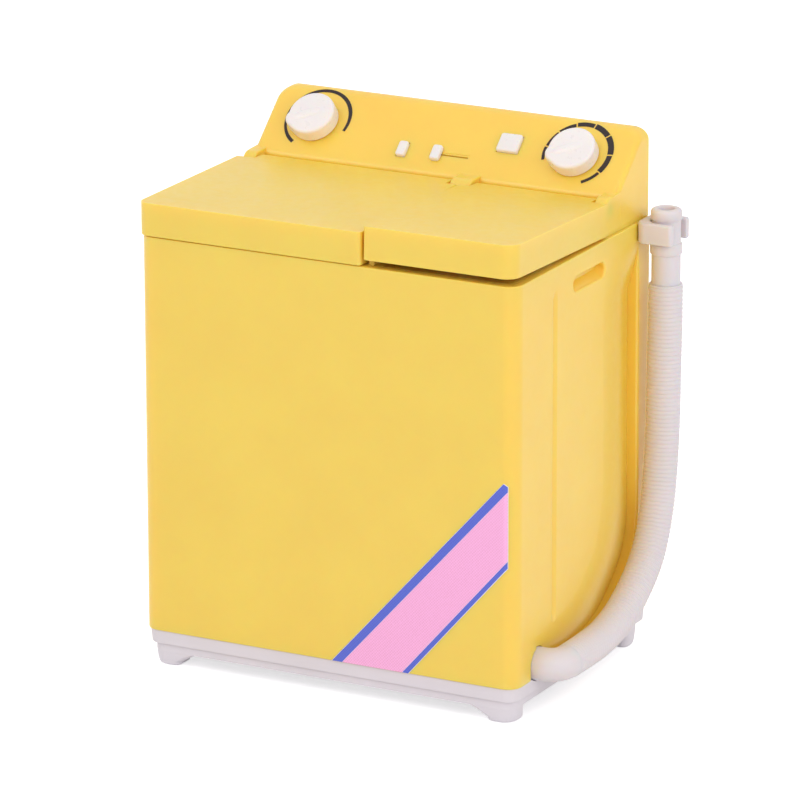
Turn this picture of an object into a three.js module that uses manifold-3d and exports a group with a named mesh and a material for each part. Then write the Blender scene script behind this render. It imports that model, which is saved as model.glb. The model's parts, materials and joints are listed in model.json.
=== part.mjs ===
// A toy twin-tub washing machine at 1:12 scale, in millimetres.
// X runs to the machine's right, Y to its back and Z up from the floor.
import * as THREE from 'three';
import { mergeVertices } from 'three/addons/utils/BufferGeometryUtils.js';
import Module from 'manifold-3d';

const wasm = await Module();
wasm.setup();

// Cabinet
const cabinetWidth = 60;
const cabinetDepth = 43;
const cabinetHeight = 58.7;
const cabinetWall = 1.3;
const cabinetFrontRadius = 2.2;
const cabinetRearRadius = 1;
const cornerPostSize = 2.4;

// Grooves, hand holds and hose channel in the cabinet's sides
const grooveFromFront = 12;
const grooveWidth = 1.3;
const grooveDepth = 0.3;
const grooveFoot = 6.7;
const grooveDrop = 3.2;
const holdFromFront = 17.9;
const holdLength = 10;
const holdHeight = 2.1;
const holdDrop = 3;
const holdDepth = 1.5;
const holdSlope = 0.9;
const channelDepth = 1.7;
const channelSkim = 0.02;

// Base tray
const lipHeight = 2.1;
const lipInset = 0.25;
const lipTaper = 0.35;
const skirtHeight = 1.2;
const skirtInset = 0.8;
const footHeight = 2.1;
const footInset = 1.2;
const footWidth = 4;
const footLength = 4;
const footFlare = 4.2;
const footCorner = 2.2;
const footRadius = 1.1;
const trayPlate = 1.2;
const trayWall = 1.1;
const rimHeight = 1.5;
const rimWall = 1;

// Clearances
const fitGap = 0.15;
const runningGap = 0.08;
const swingGap = 0.3;
const overrun = 1;
const overlap = 0.4;

// Deck and tubs
const deckThickness = 1.3;
const flangeReach = 0.9;
const flangeThickness = 0.7;
const tubWall = 0.9;
const washTubFromSplit = 2.225;
const washTubRearMargin = 2.7;
const washTubDepth = 40;
const washTubFromFront = 3.6;
const washTubFromSide = 3.8;
const washTubRadius = 5;
const washTubDraft = 1.2;
const tubFloorRadius = 2;
const spinWellDepth = 38;
const spinWellMargin = 2.6;

// Pulsator and spin basket
const stemRadius = 1;
const pulsatorGap = 0.8;
const pulsatorDisc = 0.9;
const pulsatorHub = 2.4;
const pulsatorLift = 0.8;
const finHeight = 2;
const finThickness = 1;
const finCount = 4;
const basketGap = 1.85;
const basketWall = 0.8;
const basketHeight = 31;
const basketLift = 1.2;
const basketRim = 0.5;
const basketHub = 5;
const basketHoleRadius = 0.55;
const basketHoleColumns = 12;
const basketHoleRows = 4;
const clipRingWidth = 1.1;
const clipRingThickness = 0.6;
const stemTail = 0.6;

// Lids
const lidHeight = 4.85;
const lidPlate = 1.3;
const lidWall = 1.1;
const lidSeatGap = 0.15;
const washLidSideInset = 0.05;
const spinLidSideInset = 0.3;
const washLidCorner = 1.6;
const spinLidCorner = 2.2;
const lidFrontOverhang = 0.25;
const lidBodyFromRear = 14.2;
const lidEdgeRadius = 0.8;
const lidInnerCorner = 0.6;
const lidSplitGap = 0.35;
const spinLidTilt = 1.75;
const lidRestLength = 3;
const hingeFromRear = 12.1;
const hingePinRadius = 0.65;
const hingePinReach = 1.6;
const lugGap = 0.25;
const earWidth = 2;
const hingeBlockWidth = 3.3;

// Console
const consoleInset = 0.6;
const consoleWall = 1.2;
const consoleHeight = 13.1;
const consoleFootHeight = 5.05;
const consoleFootFromRear = 10.52;
const consoleFootLip = 0.95;
const consoleTopFromRear = 1.7;
const consoleTopRadius = 0.5;
const consoleCornerRadius = 2.8;
const consoleSideRadius = 1;
const consoleFootRadius = 0.55;
const hingeWellFromRear = 9.1;
const tabWidth = 4;
const tabThickness = 0.8;
const tabDepth = 2.2;
const tabFromSide = 10;

// Knobs and keys, placed on the console's face from its centre line and its foot
const knobRadius = 3.65;
const knobNoseReach = 4;
const knobNoseRadius = 1.5;
const knobNoseAngle = 205;
const knobHeight = 2.35;
const knobEdge = 0.6;
const knobRidgeWidth = 1.7;
const knobRidgeHeight = 0.3;
const washKnobUpFace = 6.2;
const spinKnobUpFace = 5.95;
const washKnobFromSide = 8.6;
const spinKnobFromSide = 9.2;
const keyWidth = 1.5;
const keyLength = 2.5;
const keyHeight = 0.6;
const keyRadius = 0.3;
const keyUpFace = 3.4;
const keyFlange = 0.5;
const keyCatchSetback = 0.9;
const pushKeyFromCentre = 6.05;
const slideKeyFromCentre = 0.5;
const slideTravel = 4.6;
const slideStemWidth = 1;
const slideStemLength = 0.5;
const squareKeyWidth = 3.4;
const squareKeyLength = 3.1;
const squareKeyFromSide = 19.9;
const squareKeyUpFace = 6.6;

// Rear cover
const coverSideMargin = 6.4;
const coverFootMargin = 5;
const coverHeadMargin = 9;
const coverStep = 1.2;
const coverStepDepth = 0.6;

// Drain hose, its elbow, cuff and clip
const hoseRadius = 2.5;
const hoseRibDepth = 0.3;
const hoseBore = 1.7;
const hoseRibPitch = 0.63;
const hoseFromSide = 3.2;
const elbowRadius = 2.4;
const elbowFromFront = 7.45;
const elbowRise = 1.95;
const elbowBend = 2.5;
const outletBore = 0.8;
const elbowFlange = 0.9;
const elbowFlangeThickness = 0.6;
const spigotRadius = 1.4;
const spigotLength = 3;
const pipeBore = 0.9;
const cuffFromSide = 3.45;
const cuffFromRear = 2.4;
const cuffDrop = 8.9;
const cuffRadius = 2.1;
const collarDrop = 4.5;
const collarHeight = 1.6;
const collarProud = 0.25;
const capHeight = 1.6;
const capProud = 0.15;
const capEdge = 0.5;
const capBore = 1.2;
const capBoreDepth = 0.8;
const clipDrop = 2.7;
const clipHeight = 3.1;
const clipArm = 1;
const clipReach = 5.65;
const clipLip = 0.25;
const clipCorner = 0.9;
const clipTipRadius = 0.35;
const clipPegRadius = 0.5;
const clipPegLength = 1;
const clipPegDrop = 1.2;

// Counts
const roundSides = 24;
const smallSides = 12;
const cornerSteps = 4;
const edgeSteps = 3;
const channelStations = 18;
const channelSteps = 8;
const hoseSides = 8;
const basketHoleSides = 6;
const ribsPerBoreRing = 5;

// Shares of the cabinet's depth and height, from the top of the channel down to the arch
const channelFrontShares = [
  [0.612, 0.954], [0.614, 0.698], [0.619, 0.494], [0.614, 0.358], [0.579, 0.273],
  [0.502, 0.203], [0.4, 0.153], [0.286, 0.131], [0.177, 0.124], [0.1, 0.107],
];
const channelRearShares = [
  [0.898, 0.954], [0.9, 0.698], [0.902, 0.511], [0.907, 0.341], [0.905, 0.239],
  [0.865, 0.16], [0.777, 0.101], [0.642, 0.051], [0.442, 0.032], [0.2, 0.049],
];
const channelHeadShare = 0.06;
const channelHeadDepthShare = 0.2;
const channelFadeShare = 0.6;
const channelEndDepthShare = 0.35;

// Shares of the cabinet's depth and height along the hose, between its straight ends
const hoseRouteShares = [
  [0.486, 0.038], [0.593, 0.056], [0.663, 0.078], [0.721, 0.103], [0.779, 0.134], [0.829, 0.171],
  [0.868, 0.218], [0.893, 0.266], [0.914, 0.324], [0.93, 0.409], [0.94, 0.511], [0.943, 0.647],
];
const pulsatorDomeShare = 0.35;
const lidSplitShare = 0.2;

// Heights and places that follow from the sizes above
const halfWidth = cabinetWidth / 2;
const baseTop = footHeight + skirtHeight + lipHeight;
const cabinetTop = baseTop + cabinetHeight;
const innerHalf = halfWidth - cabinetWall;
const lidFoot = cabinetTop + lidSeatGap;
const lidTop = lidFoot + lidHeight;
const lidBodyLength = cabinetDepth - lidBodyFromRear;
const hingeFromFront = cabinetDepth - hingeFromRear;
const hingeZ = lidTop - lidPlate;
const consoleHalf = halfWidth - consoleInset;
const washLidHalf = halfWidth - washLidSideInset;
const lidHalf = halfWidth - spinLidSideInset;
const consoleTop = cabinetTop + consoleHeight;
const consoleFootFromFront = cabinetDepth - consoleFootFromRear;
const consoleTopFromFront = cabinetDepth - consoleTopFromRear;
const hingeWellBack = cabinetDepth - hingeWellFromRear;
const faceRun = consoleTopFromFront - consoleFootFromFront;
const faceRise = consoleHeight - consoleFootHeight;
const faceTilt = Math.atan2(faceRise, faceRun);
const elbowZ = baseTop + elbowRise;
const hoseX = halfWidth + hoseFromSide;
const cuffX = halfWidth + cuffFromSide;
const tabX = halfWidth - tabFromSide;
const washKnobX = washKnobFromSide - halfWidth;
const spinKnobX = halfWidth - spinKnobFromSide;
const squareKeyX = halfWidth - squareKeyFromSide;
const cuffFromFront = cabinetDepth - cuffFromRear;
const lidSplitX = halfWidth * lidSplitShare;
const lidSplitLow = lidSplitX - lidSplitGap / 2;
const lidSplitHigh = lidSplitX + lidSplitGap / 2;
const washTubLength = lidBodyLength - washTubFromFront - washTubRearMargin;
const spinWellRadius = Math.min(lidHalf - lidSplitHigh, lidBodyLength) / 2 - spinWellMargin;
const washTubX = [-halfWidth + washTubFromSide, lidSplitLow - washTubFromSplit];
const washTubRoom = Math.min(washTubLength, washTubX[1] - washTubX[0]) / 2;
const pulsatorRadius = washTubRoom - tubWall - washTubDraft - pulsatorGap;
const basketRadius = spinWellRadius - basketGap;

const yellow = new THREE.MeshStandardMaterial({ color: 0xffc94f, roughness: 0.38 });
const paleGrey = new THREE.MeshStandardMaterial({ color: 0xe6e0e4, roughness: 0.5 });
const white = new THREE.MeshStandardMaterial({ color: 0xf6f2f0, roughness: 0.4 });
const offWhite = new THREE.MeshStandardMaterial({ color: 0xece4e6, roughness: 0.5 });

// Joins and cuts of closed shapes

function facingOut(geometry) {
  const at = geometry.attributes.position;
  const turn = geometry.index;
  const corner = (k) => new THREE.Vector3().fromBufferAttribute(at, turn.getX(k));
  let volume = 0;
  for (let k = 0; k < turn.count; k += 3) volume += corner(k).dot(corner(k + 1).cross(corner(k + 2)));
  if (volume >= 0) return geometry;
  for (let k = 0; k < turn.count; k += 3) {
    const first = turn.getX(k);
    turn.setX(k, turn.getX(k + 1));
    turn.setX(k + 1, first);
  }
  return geometry;
}

function merged(geometry) {
  const bare = geometry.clone();
  bare.deleteAttribute('normal');
  bare.deleteAttribute('uv');
  return facingOut(mergeVertices(bare));
}

function toSolid(geometry) {
  const shape = merged(geometry);
  return new wasm.Manifold(new wasm.Mesh({
    numProp: 3,
    vertProperties: shape.attributes.position.array,
    triVerts: Uint32Array.from(shape.index.array),
  }));
}

function toGeometry(solid) {
  const mesh = solid.getMesh();
  const geometry = new THREE.BufferGeometry();
  geometry.setAttribute('position', new THREE.BufferAttribute(mesh.vertProperties, mesh.numProp));
  geometry.setIndex(new THREE.BufferAttribute(mesh.triVerts, 1));
  return geometry;
}

function join(...shapes) {
  return toGeometry(shapes.map(toSolid).reduce((sum, next) => sum.add(next)));
}

function cut(shape, ...tools) {
  return toGeometry(tools.map(toSolid).reduce((left, tool) => left.subtract(tool), toSolid(shape)));
}

function common(shape, other) {
  return toGeometry(toSolid(shape).intersect(toSolid(other)));
}

// Basic shapes

function block([x0, x1], [y0, y1], [z0, z1]) {
  return new THREE.BoxGeometry(x1 - x0, y1 - y0, z1 - z0)
    .translate((x0 + x1) / 2, (y0 + y1) / 2, (z0 + z1) / 2);
}

function rodX(radius, [x0, x1], y, z, sides = roundSides) {
  return new THREE.CylinderGeometry(radius, radius, x1 - x0, sides)
    .rotateZ(-Math.PI / 2).translate((x0 + x1) / 2, y, z);
}

function rodY(radius, x, [y0, y1], z, sides = roundSides) {
  return new THREE.CylinderGeometry(radius, radius, y1 - y0, sides).translate(x, (y0 + y1) / 2, z);
}

function rodZ(radius, x, y, [z0, z1], sides = roundSides) {
  return new THREE.CylinderGeometry(radius, radius, z1 - z0, sides)
    .rotateX(Math.PI / 2).translate(x, y, (z0 + z1) / 2);
}

// Revolves a profile of [radius, height] points about a vertical axis.
function turned(profile, x, y, sides = roundSides) {
  const points = profile.map(([radius, height]) => new THREE.Vector2(radius, height));
  return new THREE.LatheGeometry(points, sides).rotateX(Math.PI / 2).translate(x, y, 0);
}

// Extrudes an outline drawn in Y and Z along X.
function alongX(outline, [x0, x1]) {
  const isDrawn = outline instanceof THREE.Shape;
  const shape = isDrawn ? outline : new THREE.Shape(outline.map(([y, z]) => new THREE.Vector2(y, z)));
  const turn = new THREE.Matrix4().makeBasis(
    new THREE.Vector3(0, 1, 0), new THREE.Vector3(0, 0, 1), new THREE.Vector3(1, 0, 0));
  return new THREE.ExtrudeGeometry(shape, { depth: x1 - x0, bevelEnabled: false, curveSegments: smallSides })
    .applyMatrix4(turn).translate(x0, 0, 0);
}

// Extrudes an outline drawn in X and Z along Y.
function alongY(shape, [y0, y1]) {
  return new THREE.ExtrudeGeometry(shape, { depth: y1 - y0, bevelEnabled: false, curveSegments: smallSides })
    .rotateX(Math.PI / 2).translate(0, y1, 0);
}

function alongZ(shape, [z0, z1]) {
  return new THREE.ExtrudeGeometry(shape, { depth: z1 - z0, bevelEnabled: false, curveSegments: smallSides })
    .translate(0, 0, z0);
}

// A level ring with rounded corners; radii run rear right, rear left, front left, front right.
function ring([x0, x1], [y0, y1], radii, z) {
  const each = Array.isArray(radii) ? radii : [radii, radii, radii, radii];
  const signs = [[1, 1], [-1, 1], [-1, -1], [1, -1]];
  return signs.flatMap(([sx, sy], quarter) => {
    const radius = each[quarter];
    const cx = sx > 0 ? x1 - radius : x0 + radius;
    const cy = sy > 0 ? y1 - radius : y0 + radius;
    return Array.from({ length: cornerSteps + 1 }, (_, k) => {
      const angle = (quarter + k / cornerSteps) * Math.PI / 2;
      return new THREE.Vector3(cx + radius * Math.cos(angle), cy + radius * Math.sin(angle), z);
    });
  });
}

// Skins a row of rings of equal count; an open row gets a cap at each end, a loop closes on itself.
function skin(rings, isLoop = false) {
  const count = rings[0].length;
  const places = rings.flat();
  const index = [];
  const bands = isLoop ? rings.length : rings.length - 1;
  for (let k = 0; k < bands; k += 1) {
    const low = k * count;
    const high = ((k + 1) % rings.length) * count;
    for (let i = 0; i < count; i += 1) {
      const j = (i + 1) % count;
      index.push(low + i, low + j, high + j, low + i, high + j, high + i);
    }
  }
  if (!isLoop) {
    const middle = (row) => row.reduce((sum, p) => sum.add(p), new THREE.Vector3()).divideScalar(count);
    places.push(middle(rings[0]), middle(rings[rings.length - 1]));
    const last = (rings.length - 1) * count;
    for (let i = 0; i < count; i += 1) {
      const j = (i + 1) % count;
      index.push(places.length - 2, j, i, places.length - 1, last + i, last + j);
    }
  }
  const geometry = new THREE.BufferGeometry().setFromPoints(places);
  geometry.setIndex(index);
  return geometry;
}

function inset([low, high], amount) {
  return [low + amount, high - amount];
}

function around(middle, width) {
  return [middle - width / 2, middle + width / 2];
}

// Cabinet

function curveFromShares(shares) {
  return new THREE.CatmullRomCurve3(shares.map(([depthShare, heightShare]) => new THREE.Vector3(
    halfWidth, depthShare * cabinetDepth, baseTop + heightShare * cabinetHeight)));
}

// The hose channel as a solid: a hollow that starts softly at its front line and ends in a steep rear wall.
// A margin swells it evenly, which gives the wall behind it.
function channelSolid(margin) {
  const front = curveFromShares(channelFrontShares);
  const rear = curveFromShares(channelRearShares);
  const rings = [];
  for (let k = 0; k <= channelStations; k += 1) {
    const share = k / channelStations;
    const a = front.getPoint(share);
    const b = rear.getPoint(share);
    const across = b.clone().sub(a).normalize().multiplyScalar(margin);
    a.sub(across);
    b.add(across);
    if (k === 0) [a, b].forEach((p) => { p.z += margin; });
    const head = 1 - THREE.MathUtils.smoothstep(share, 0, channelHeadShare);
    const fade = THREE.MathUtils.smoothstep(share, channelFadeShare, 1);
    const depth = channelDepth * (1 - (1 - channelHeadDepthShare) * head - (1 - channelEndDepthShare) * fade);
    const row = [];
    for (let i = 0; i <= channelSteps; i += 1) {
      const along = i / channelSteps;
      const place = a.clone().lerp(b, along);
      place.x = halfWidth - margin - depth * (1 - Math.cos(along * Math.PI / 2)) - channelSkim;
      row.push(place);
    }
    row.push(b.clone().setX(halfWidth + overrun), a.clone().setX(halfWidth + overrun));
    rings.push(row);
  }
  return skin(rings);
}

// One level of a hand hold, with round ends, at a place along X.
function holdLevel(x, span, [low, high]) {
  return ring(span, [low, high], (high - low) / 2, 0).map((point) => new THREE.Vector3(x, point.x, point.y));
}

// A hand hold whose lower face slopes up into the side; a margin swells it, which gives the wall round it.
function handHold(side, margin) {
  const span = inset([holdFromFront, holdFromFront + holdLength], -margin);
  const mouth = inset([cabinetTop - holdDrop - holdHeight, cabinetTop - holdDrop], -margin);
  const end = [mouth[0] + holdSlope, mouth[1]];
  return skin([
    holdLevel(side * (halfWidth - holdDepth - margin), span, end),
    holdLevel(side * halfWidth, span, mouth),
    holdLevel(side * (halfWidth + overrun), span, mouth),
  ]);
}

// An upright groove with a round bottom.
function sideGroove(side) {
  const radius = (grooveWidth * grooveWidth / 4 + grooveDepth * grooveDepth) / (2 * grooveDepth);
  return rodZ(radius, side * (halfWidth - grooveDepth + radius), grooveFromFront,
    [baseTop + grooveFoot, cabinetTop - grooveDrop]);
}

// The arch that the hose elbow leaves through, open at the cabinet's lower edge.
function hoseArch() {
  const radius = elbowRadius + fitGap;
  const shape = new THREE.Shape();
  shape.moveTo(elbowFromFront - radius, baseTop - overrun);
  shape.lineTo(elbowFromFront + radius, baseTop - overrun);
  shape.absarc(elbowFromFront, elbowZ, radius, 0, Math.PI);
  return alongX(shape, [halfWidth - channelDepth - 2 * cabinetWall - overrun, halfWidth + overrun]);
}

const coverX = [-halfWidth + coverSideMargin, halfWidth - coverSideMargin];
const coverZ = [baseTop + coverFootMargin, cabinetTop - coverHeadMargin];

function rearOpening() {
  const through = block(coverX, [cabinetDepth - cabinetWall - overrun, cabinetDepth + overrun], coverZ);
  const step = block(inset(coverX, -coverStep), [cabinetDepth - coverStepDepth, cabinetDepth + overrun],
    inset(coverZ, -coverStep));
  return join(through, step);
}

function cornerPost(sideX, sideY) {
  const x = sideX > 0 ? [innerHalf - cornerPostSize, innerHalf + overlap] : [-innerHalf - overlap,
    -innerHalf + cornerPostSize];
  const y = sideY > 0 ? [cabinetDepth - cabinetWall - cornerPostSize, cabinetDepth - cabinetWall + overlap]
    : [cabinetWall - overlap, cabinetWall + cornerPostSize];
  return block(x, y, [baseTop + rimHeight + fitGap, cabinetTop - deckThickness]);
}

function clipPegHole() {
  return rodX(clipPegRadius + runningGap, [halfWidth - clipPegLength - runningGap, halfWidth + overrun],
    cuffFromFront, cabinetTop - clipDrop + clipPegDrop, smallSides);
}

function cabinetShell() {
  const radii = [cabinetRearRadius, cabinetRearRadius, cabinetFrontRadius, cabinetFrontRadius];
  const outline = (z) => ring([-halfWidth, halfWidth], [0, cabinetDepth], radii, z);
  const outer = skin([outline(baseTop), outline(cabinetTop)]);
  const cavity = block([-innerHalf, innerHalf], [cabinetWall, cabinetDepth - cabinetWall],
    [baseTop - overrun, cabinetTop + overrun]);
  const hollow = cut(cavity, channelSolid(cabinetWall), handHold(1, cabinetWall), handHold(-1, cabinetWall));
  const walls = cut(outer, hollow, rearOpening(), channelSolid(0), handHold(1, 0), handHold(-1, 0),
    sideGroove(1), sideGroove(-1));
  const posts = [[-1, -1], [1, -1], [-1, 1], [1, 1]].map(([x, y]) => cornerPost(x, y));
  return cut(join(walls, ...posts), hoseArch(), clipPegHole());
}

function rearCover() {
  const plug = block(inset(coverX, fitGap), [cabinetDepth - cabinetWall, cabinetDepth - coverStepDepth / 2],
    inset(coverZ, fitGap));
  const plateY = [cabinetDepth - coverStepDepth + fitGap, cabinetDepth];
  const plate = block(inset(coverX, fitGap - coverStep), plateY, inset(coverZ, fitGap - coverStep));
  return join(plug, plate);
}

// Base tray

// One foot: it leans in below the skirt, and its inner side flares along the tray in a hollow curve.
function foot(sideX, sideY) {
  const rings = [];
  const corner = { '1,1': 0, '-1,1': 1, '-1,-1': 2, '1,-1': 3 }[`${sideX},${sideY}`];
  const radii = [0, 1, 2, 3].map((quarter) => (quarter === corner ? footCorner : footRadius));
  const level = (share, z) => {
    const lean = THREE.MathUtils.lerp(footInset, skirtInset, z / (footHeight + skirtHeight));
    const side = halfWidth - lean;
    const width = footWidth + footFlare * share;
    const x = sideX > 0 ? [side - width, side] : [-side, width - side];
    const y = sideY > 0 ? [cabinetDepth - lean - footLength, cabinetDepth - lean] : [lean, lean + footLength];
    rings.push(ring(x, y, radii, z));
  };
  for (let k = 0; k <= cornerSteps; k += 1) {
    const angle = (k / cornerSteps) * Math.PI / 2;
    level(1 - Math.cos(angle), footHeight * Math.sin(angle));
  }
  level(1, footHeight + skirtHeight);
  return skin(rings);
}

function trayRing(amount, z) {
  const radii = [cabinetRearRadius, cabinetRearRadius, cabinetFrontRadius, cabinetFrontRadius]
    .map((radius) => Math.max(radius - amount, fitGap));
  return ring([-halfWidth + amount, halfWidth - amount], [amount, cabinetDepth - amount], radii, z);
}

function trayRim() {
  const reach = cabinetWall + fitGap;
  const corner = cornerPostSize / 2;
  const level = (amount, z) => ring([-halfWidth + amount, halfWidth - amount],
    [amount, cabinetDepth - amount], corner, z);
  const outer = skin([level(reach, baseTop - overlap), level(reach, baseTop + rimHeight)]);
  const above = baseTop + rimHeight + overrun;
  const inner = skin([level(reach + rimWall, baseTop - overrun), level(reach + rimWall, above)]);
  const notch = block([halfWidth - channelDepth - 2 * cabinetWall - overrun, halfWidth],
    around(elbowFromFront, 2 * (elbowRadius + elbowFlange + swingGap)), [baseTop, above]);
  return cut(outer, inner, notch, channelSolid(cabinetWall + fitGap));
}

function baseTray() {
  const lipFoot = baseTop - lipHeight;
  const lip = skin([trayRing(lipInset + lipTaper, lipFoot), trayRing(lipInset, baseTop)]);
  const skirt = skin([trayRing(skirtInset, footHeight), trayRing(skirtInset, lipFoot + overlap)]);
  const wall = skirtInset + trayWall;
  const hollow = block(inset([-halfWidth, halfWidth], wall), inset([0, cabinetDepth], wall),
    [footHeight - overrun, baseTop - trayPlate]);
  const feet = [[-1, -1], [1, -1], [-1, 1], [1, 1]].map(([x, y]) => foot(x, y));
  const elbowSeat = rodX(elbowRadius + fitGap,
    [halfWidth - channelDepth - 2 * cabinetWall - 2 * overrun, halfWidth + overrun], elbowFromFront, elbowZ);
  return cut(join(cut(join(lip, skirt), hollow), trayRim(), ...feet), elbowSeat);
}

// Deck and tubs

const washTubY = [washTubFromFront, washTubFromFront + washTubLength];
const washTubFloor = cabinetTop - washTubDepth;
const washX = (washTubX[0] + washTubX[1]) / 2;
const washY = (washTubY[0] + washTubY[1]) / 2;
const spinX = (lidSplitHigh + lidHalf) / 2;
const spinY = lidBodyLength / 2;
const spinWellFloor = cabinetTop - spinWellDepth;

// The boss on the deck that the spin lid's inner side wall rests on, a little above its seat.
function lidRest() {
  const restY = [cabinetWall + fitGap, cabinetWall + lidRestLength];
  const lift = Math.tan(THREE.MathUtils.degToRad(spinLidTilt)) * (hingeFromFront - restY[1]);
  return block([lidSplitHigh + fitGap, lidSplitHigh + lidWall - fitGap], restY,
    [cabinetTop - overlap, cabinetTop + lidSeatGap + lift - fitGap]);
}

function topDeck() {
  const edge = cabinetWall + fitGap;
  const level = (z) => ring([-halfWidth + edge, halfWidth - edge], [edge, cabinetDepth - edge],
    fitGap, z);
  const plate = skin([level(cabinetTop - deckThickness), level(cabinetTop)]);
  const openings = [cabinetTop - deckThickness - overrun, cabinetTop + overrun];
  const washOpening = skin(openings.map((z) => ring(inset(washTubX, -fitGap), inset(washTubY, -fitGap),
    washTubRadius + fitGap, z)));
  const spinOpening = rodZ(spinWellRadius + fitGap, spinX, spinY, openings);
  const notches = [-tabX, tabX].map((x) => block(around(x, tabWidth + 2 * fitGap),
    [cabinetDepth - cabinetWall - fitGap - tabThickness - fitGap, cabinetDepth], openings));
  return join(cut(plate, washOpening, spinOpening, ...notches), lidRest());
}

function washTub() {
  const level = (amount, z, radius) => ring(inset(washTubX, amount), inset(washTubY, amount), radius, z);
  const rings = [];
  const bend = (start, radius, z, isInner) => {
    for (let k = 0; k <= edgeSteps; k += 1) {
      const share = isInner ? 1 - k / edgeSteps : k / edgeSteps;
      const angle = share * Math.PI / 2;
      const amount = start + radius * (1 - Math.sin(angle));
      rings.push(level(amount, z + radius * (1 - Math.cos(angle)), washTubRadius / 2));
    }
  };
  bend(washTubDraft, tubFloorRadius, washTubFloor, false);
  rings.push(level(0, cabinetTop, washTubRadius));
  rings.push(level(-flangeReach, cabinetTop, washTubRadius + flangeReach));
  rings.push(level(-flangeReach, cabinetTop + flangeThickness, washTubRadius + flangeReach));
  rings.push(level(tubWall, cabinetTop + flangeThickness, washTubRadius - tubWall));
  bend(washTubDraft + tubWall, tubFloorRadius, washTubFloor + tubWall, true);
  const through = [washTubFloor - overrun, washTubFloor + tubWall + overrun];
  const hole = rodZ(stemRadius + runningGap, washX, washY, through);
  return cut(skin(rings), hole);
}

function spinWell() {
  const outer = spinWellRadius;
  const profile = [
    [stemRadius + runningGap, spinWellFloor], [outer - tubFloorRadius, spinWellFloor],
    [outer, spinWellFloor + tubFloorRadius], [outer, cabinetTop],
    [outer + flangeReach, cabinetTop], [outer + flangeReach, cabinetTop + flangeThickness],
    [outer - tubWall, cabinetTop + flangeThickness], [outer - tubWall, spinWellFloor + tubFloorRadius],
    [outer - tubFloorRadius, spinWellFloor + tubWall], [stemRadius + runningGap, spinWellFloor + tubWall],
    [stemRadius + runningGap, spinWellFloor],
  ];
  return turned(profile, spinX, spinY);
}

// A push-on ring that keeps a stem in its hole.
function stemRing(x, y, top) {
  const bore = stemRadius + runningGap;
  const rim = bore + clipRingWidth;
  return turned([[bore, top - clipRingThickness], [rim, top - clipRingThickness], [rim, top], [bore, top],
    [bore, top - clipRingThickness]], x, y, smallSides);
}

function stemFoot(floor) {
  return floor - fitGap - clipRingThickness - stemTail;
}

function pulsator() {
  const seat = washTubFloor + tubWall + pulsatorLift;
  const dome = seat + pulsatorDisc;
  const disc = turned([[0, seat], [pulsatorRadius, seat], [pulsatorRadius, dome - pulsatorDisc / 2],
    [pulsatorRadius - pulsatorDisc / 2, dome], [pulsatorRadius * pulsatorDomeShare, dome + pulsatorDisc / 2],
    [pulsatorRadius * pulsatorDomeShare / 2, seat + pulsatorHub], [0, seat + pulsatorHub]], washX, washY);
  const finOutline = new THREE.Shape();
  finOutline.moveTo(0, 0);
  finOutline.lineTo(pulsatorRadius - pulsatorDisc, 0);
  finOutline.quadraticCurveTo(pulsatorRadius * (1 - pulsatorDomeShare), finHeight, 0, finHeight);
  const fins = Array.from({ length: finCount }, (_, k) => alongY(finOutline, around(0, finThickness))
    .translate(0, 0, seat + pulsatorDisc / 2)
    .rotateZ((k / finCount) * Math.PI * 2).translate(washX, washY, 0));
  const stem = rodZ(stemRadius, washX, washY, [stemFoot(washTubFloor), seat + overlap]);
  return join(disc, stem, ...fins);
}

function spinBasket() {
  const seat = spinWellFloor + tubWall + basketLift;
  const brim = seat + basketHeight;
  const rim = basketRadius + basketRim;
  const inner = basketRadius - basketWall;
  const shell = turned([
    [0, seat], [basketRadius - tubFloorRadius, seat], [basketRadius, seat + tubFloorRadius],
    [basketRadius, brim - basketRim], [rim, brim - basketRim], [rim, brim],
    [inner, brim], [inner, seat + tubFloorRadius],
    [basketRadius - tubFloorRadius, seat + basketWall], [stemRadius * 2, seat + basketWall],
    [stemRadius, seat + basketHub], [0, seat + basketHub]], spinX, spinY);
  const rowPitch = (basketHeight - 2 * tubFloorRadius) / (basketHoleRows + 1);
  const holes = [];
  for (let row = 1; row <= basketHoleRows; row += 1) {
    for (let column = 0; column < basketHoleColumns; column += 1) {
      const angle = ((column + (row % 2) / 2) / basketHoleColumns) * Math.PI * 2;
      const z = seat + tubFloorRadius + row * rowPitch;
      holes.push(rodX(basketHoleRadius, [inner - overrun, basketRadius + overrun], 0, z, basketHoleSides)
        .rotateZ(angle).translate(spinX, spinY, 0));
    }
  }
  const stem = rodZ(stemRadius, spinX, spinY, [stemFoot(spinWellFloor), seat + overlap]);
  return join(cut(shell, ...holes), stem);
}

// Lids

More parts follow.
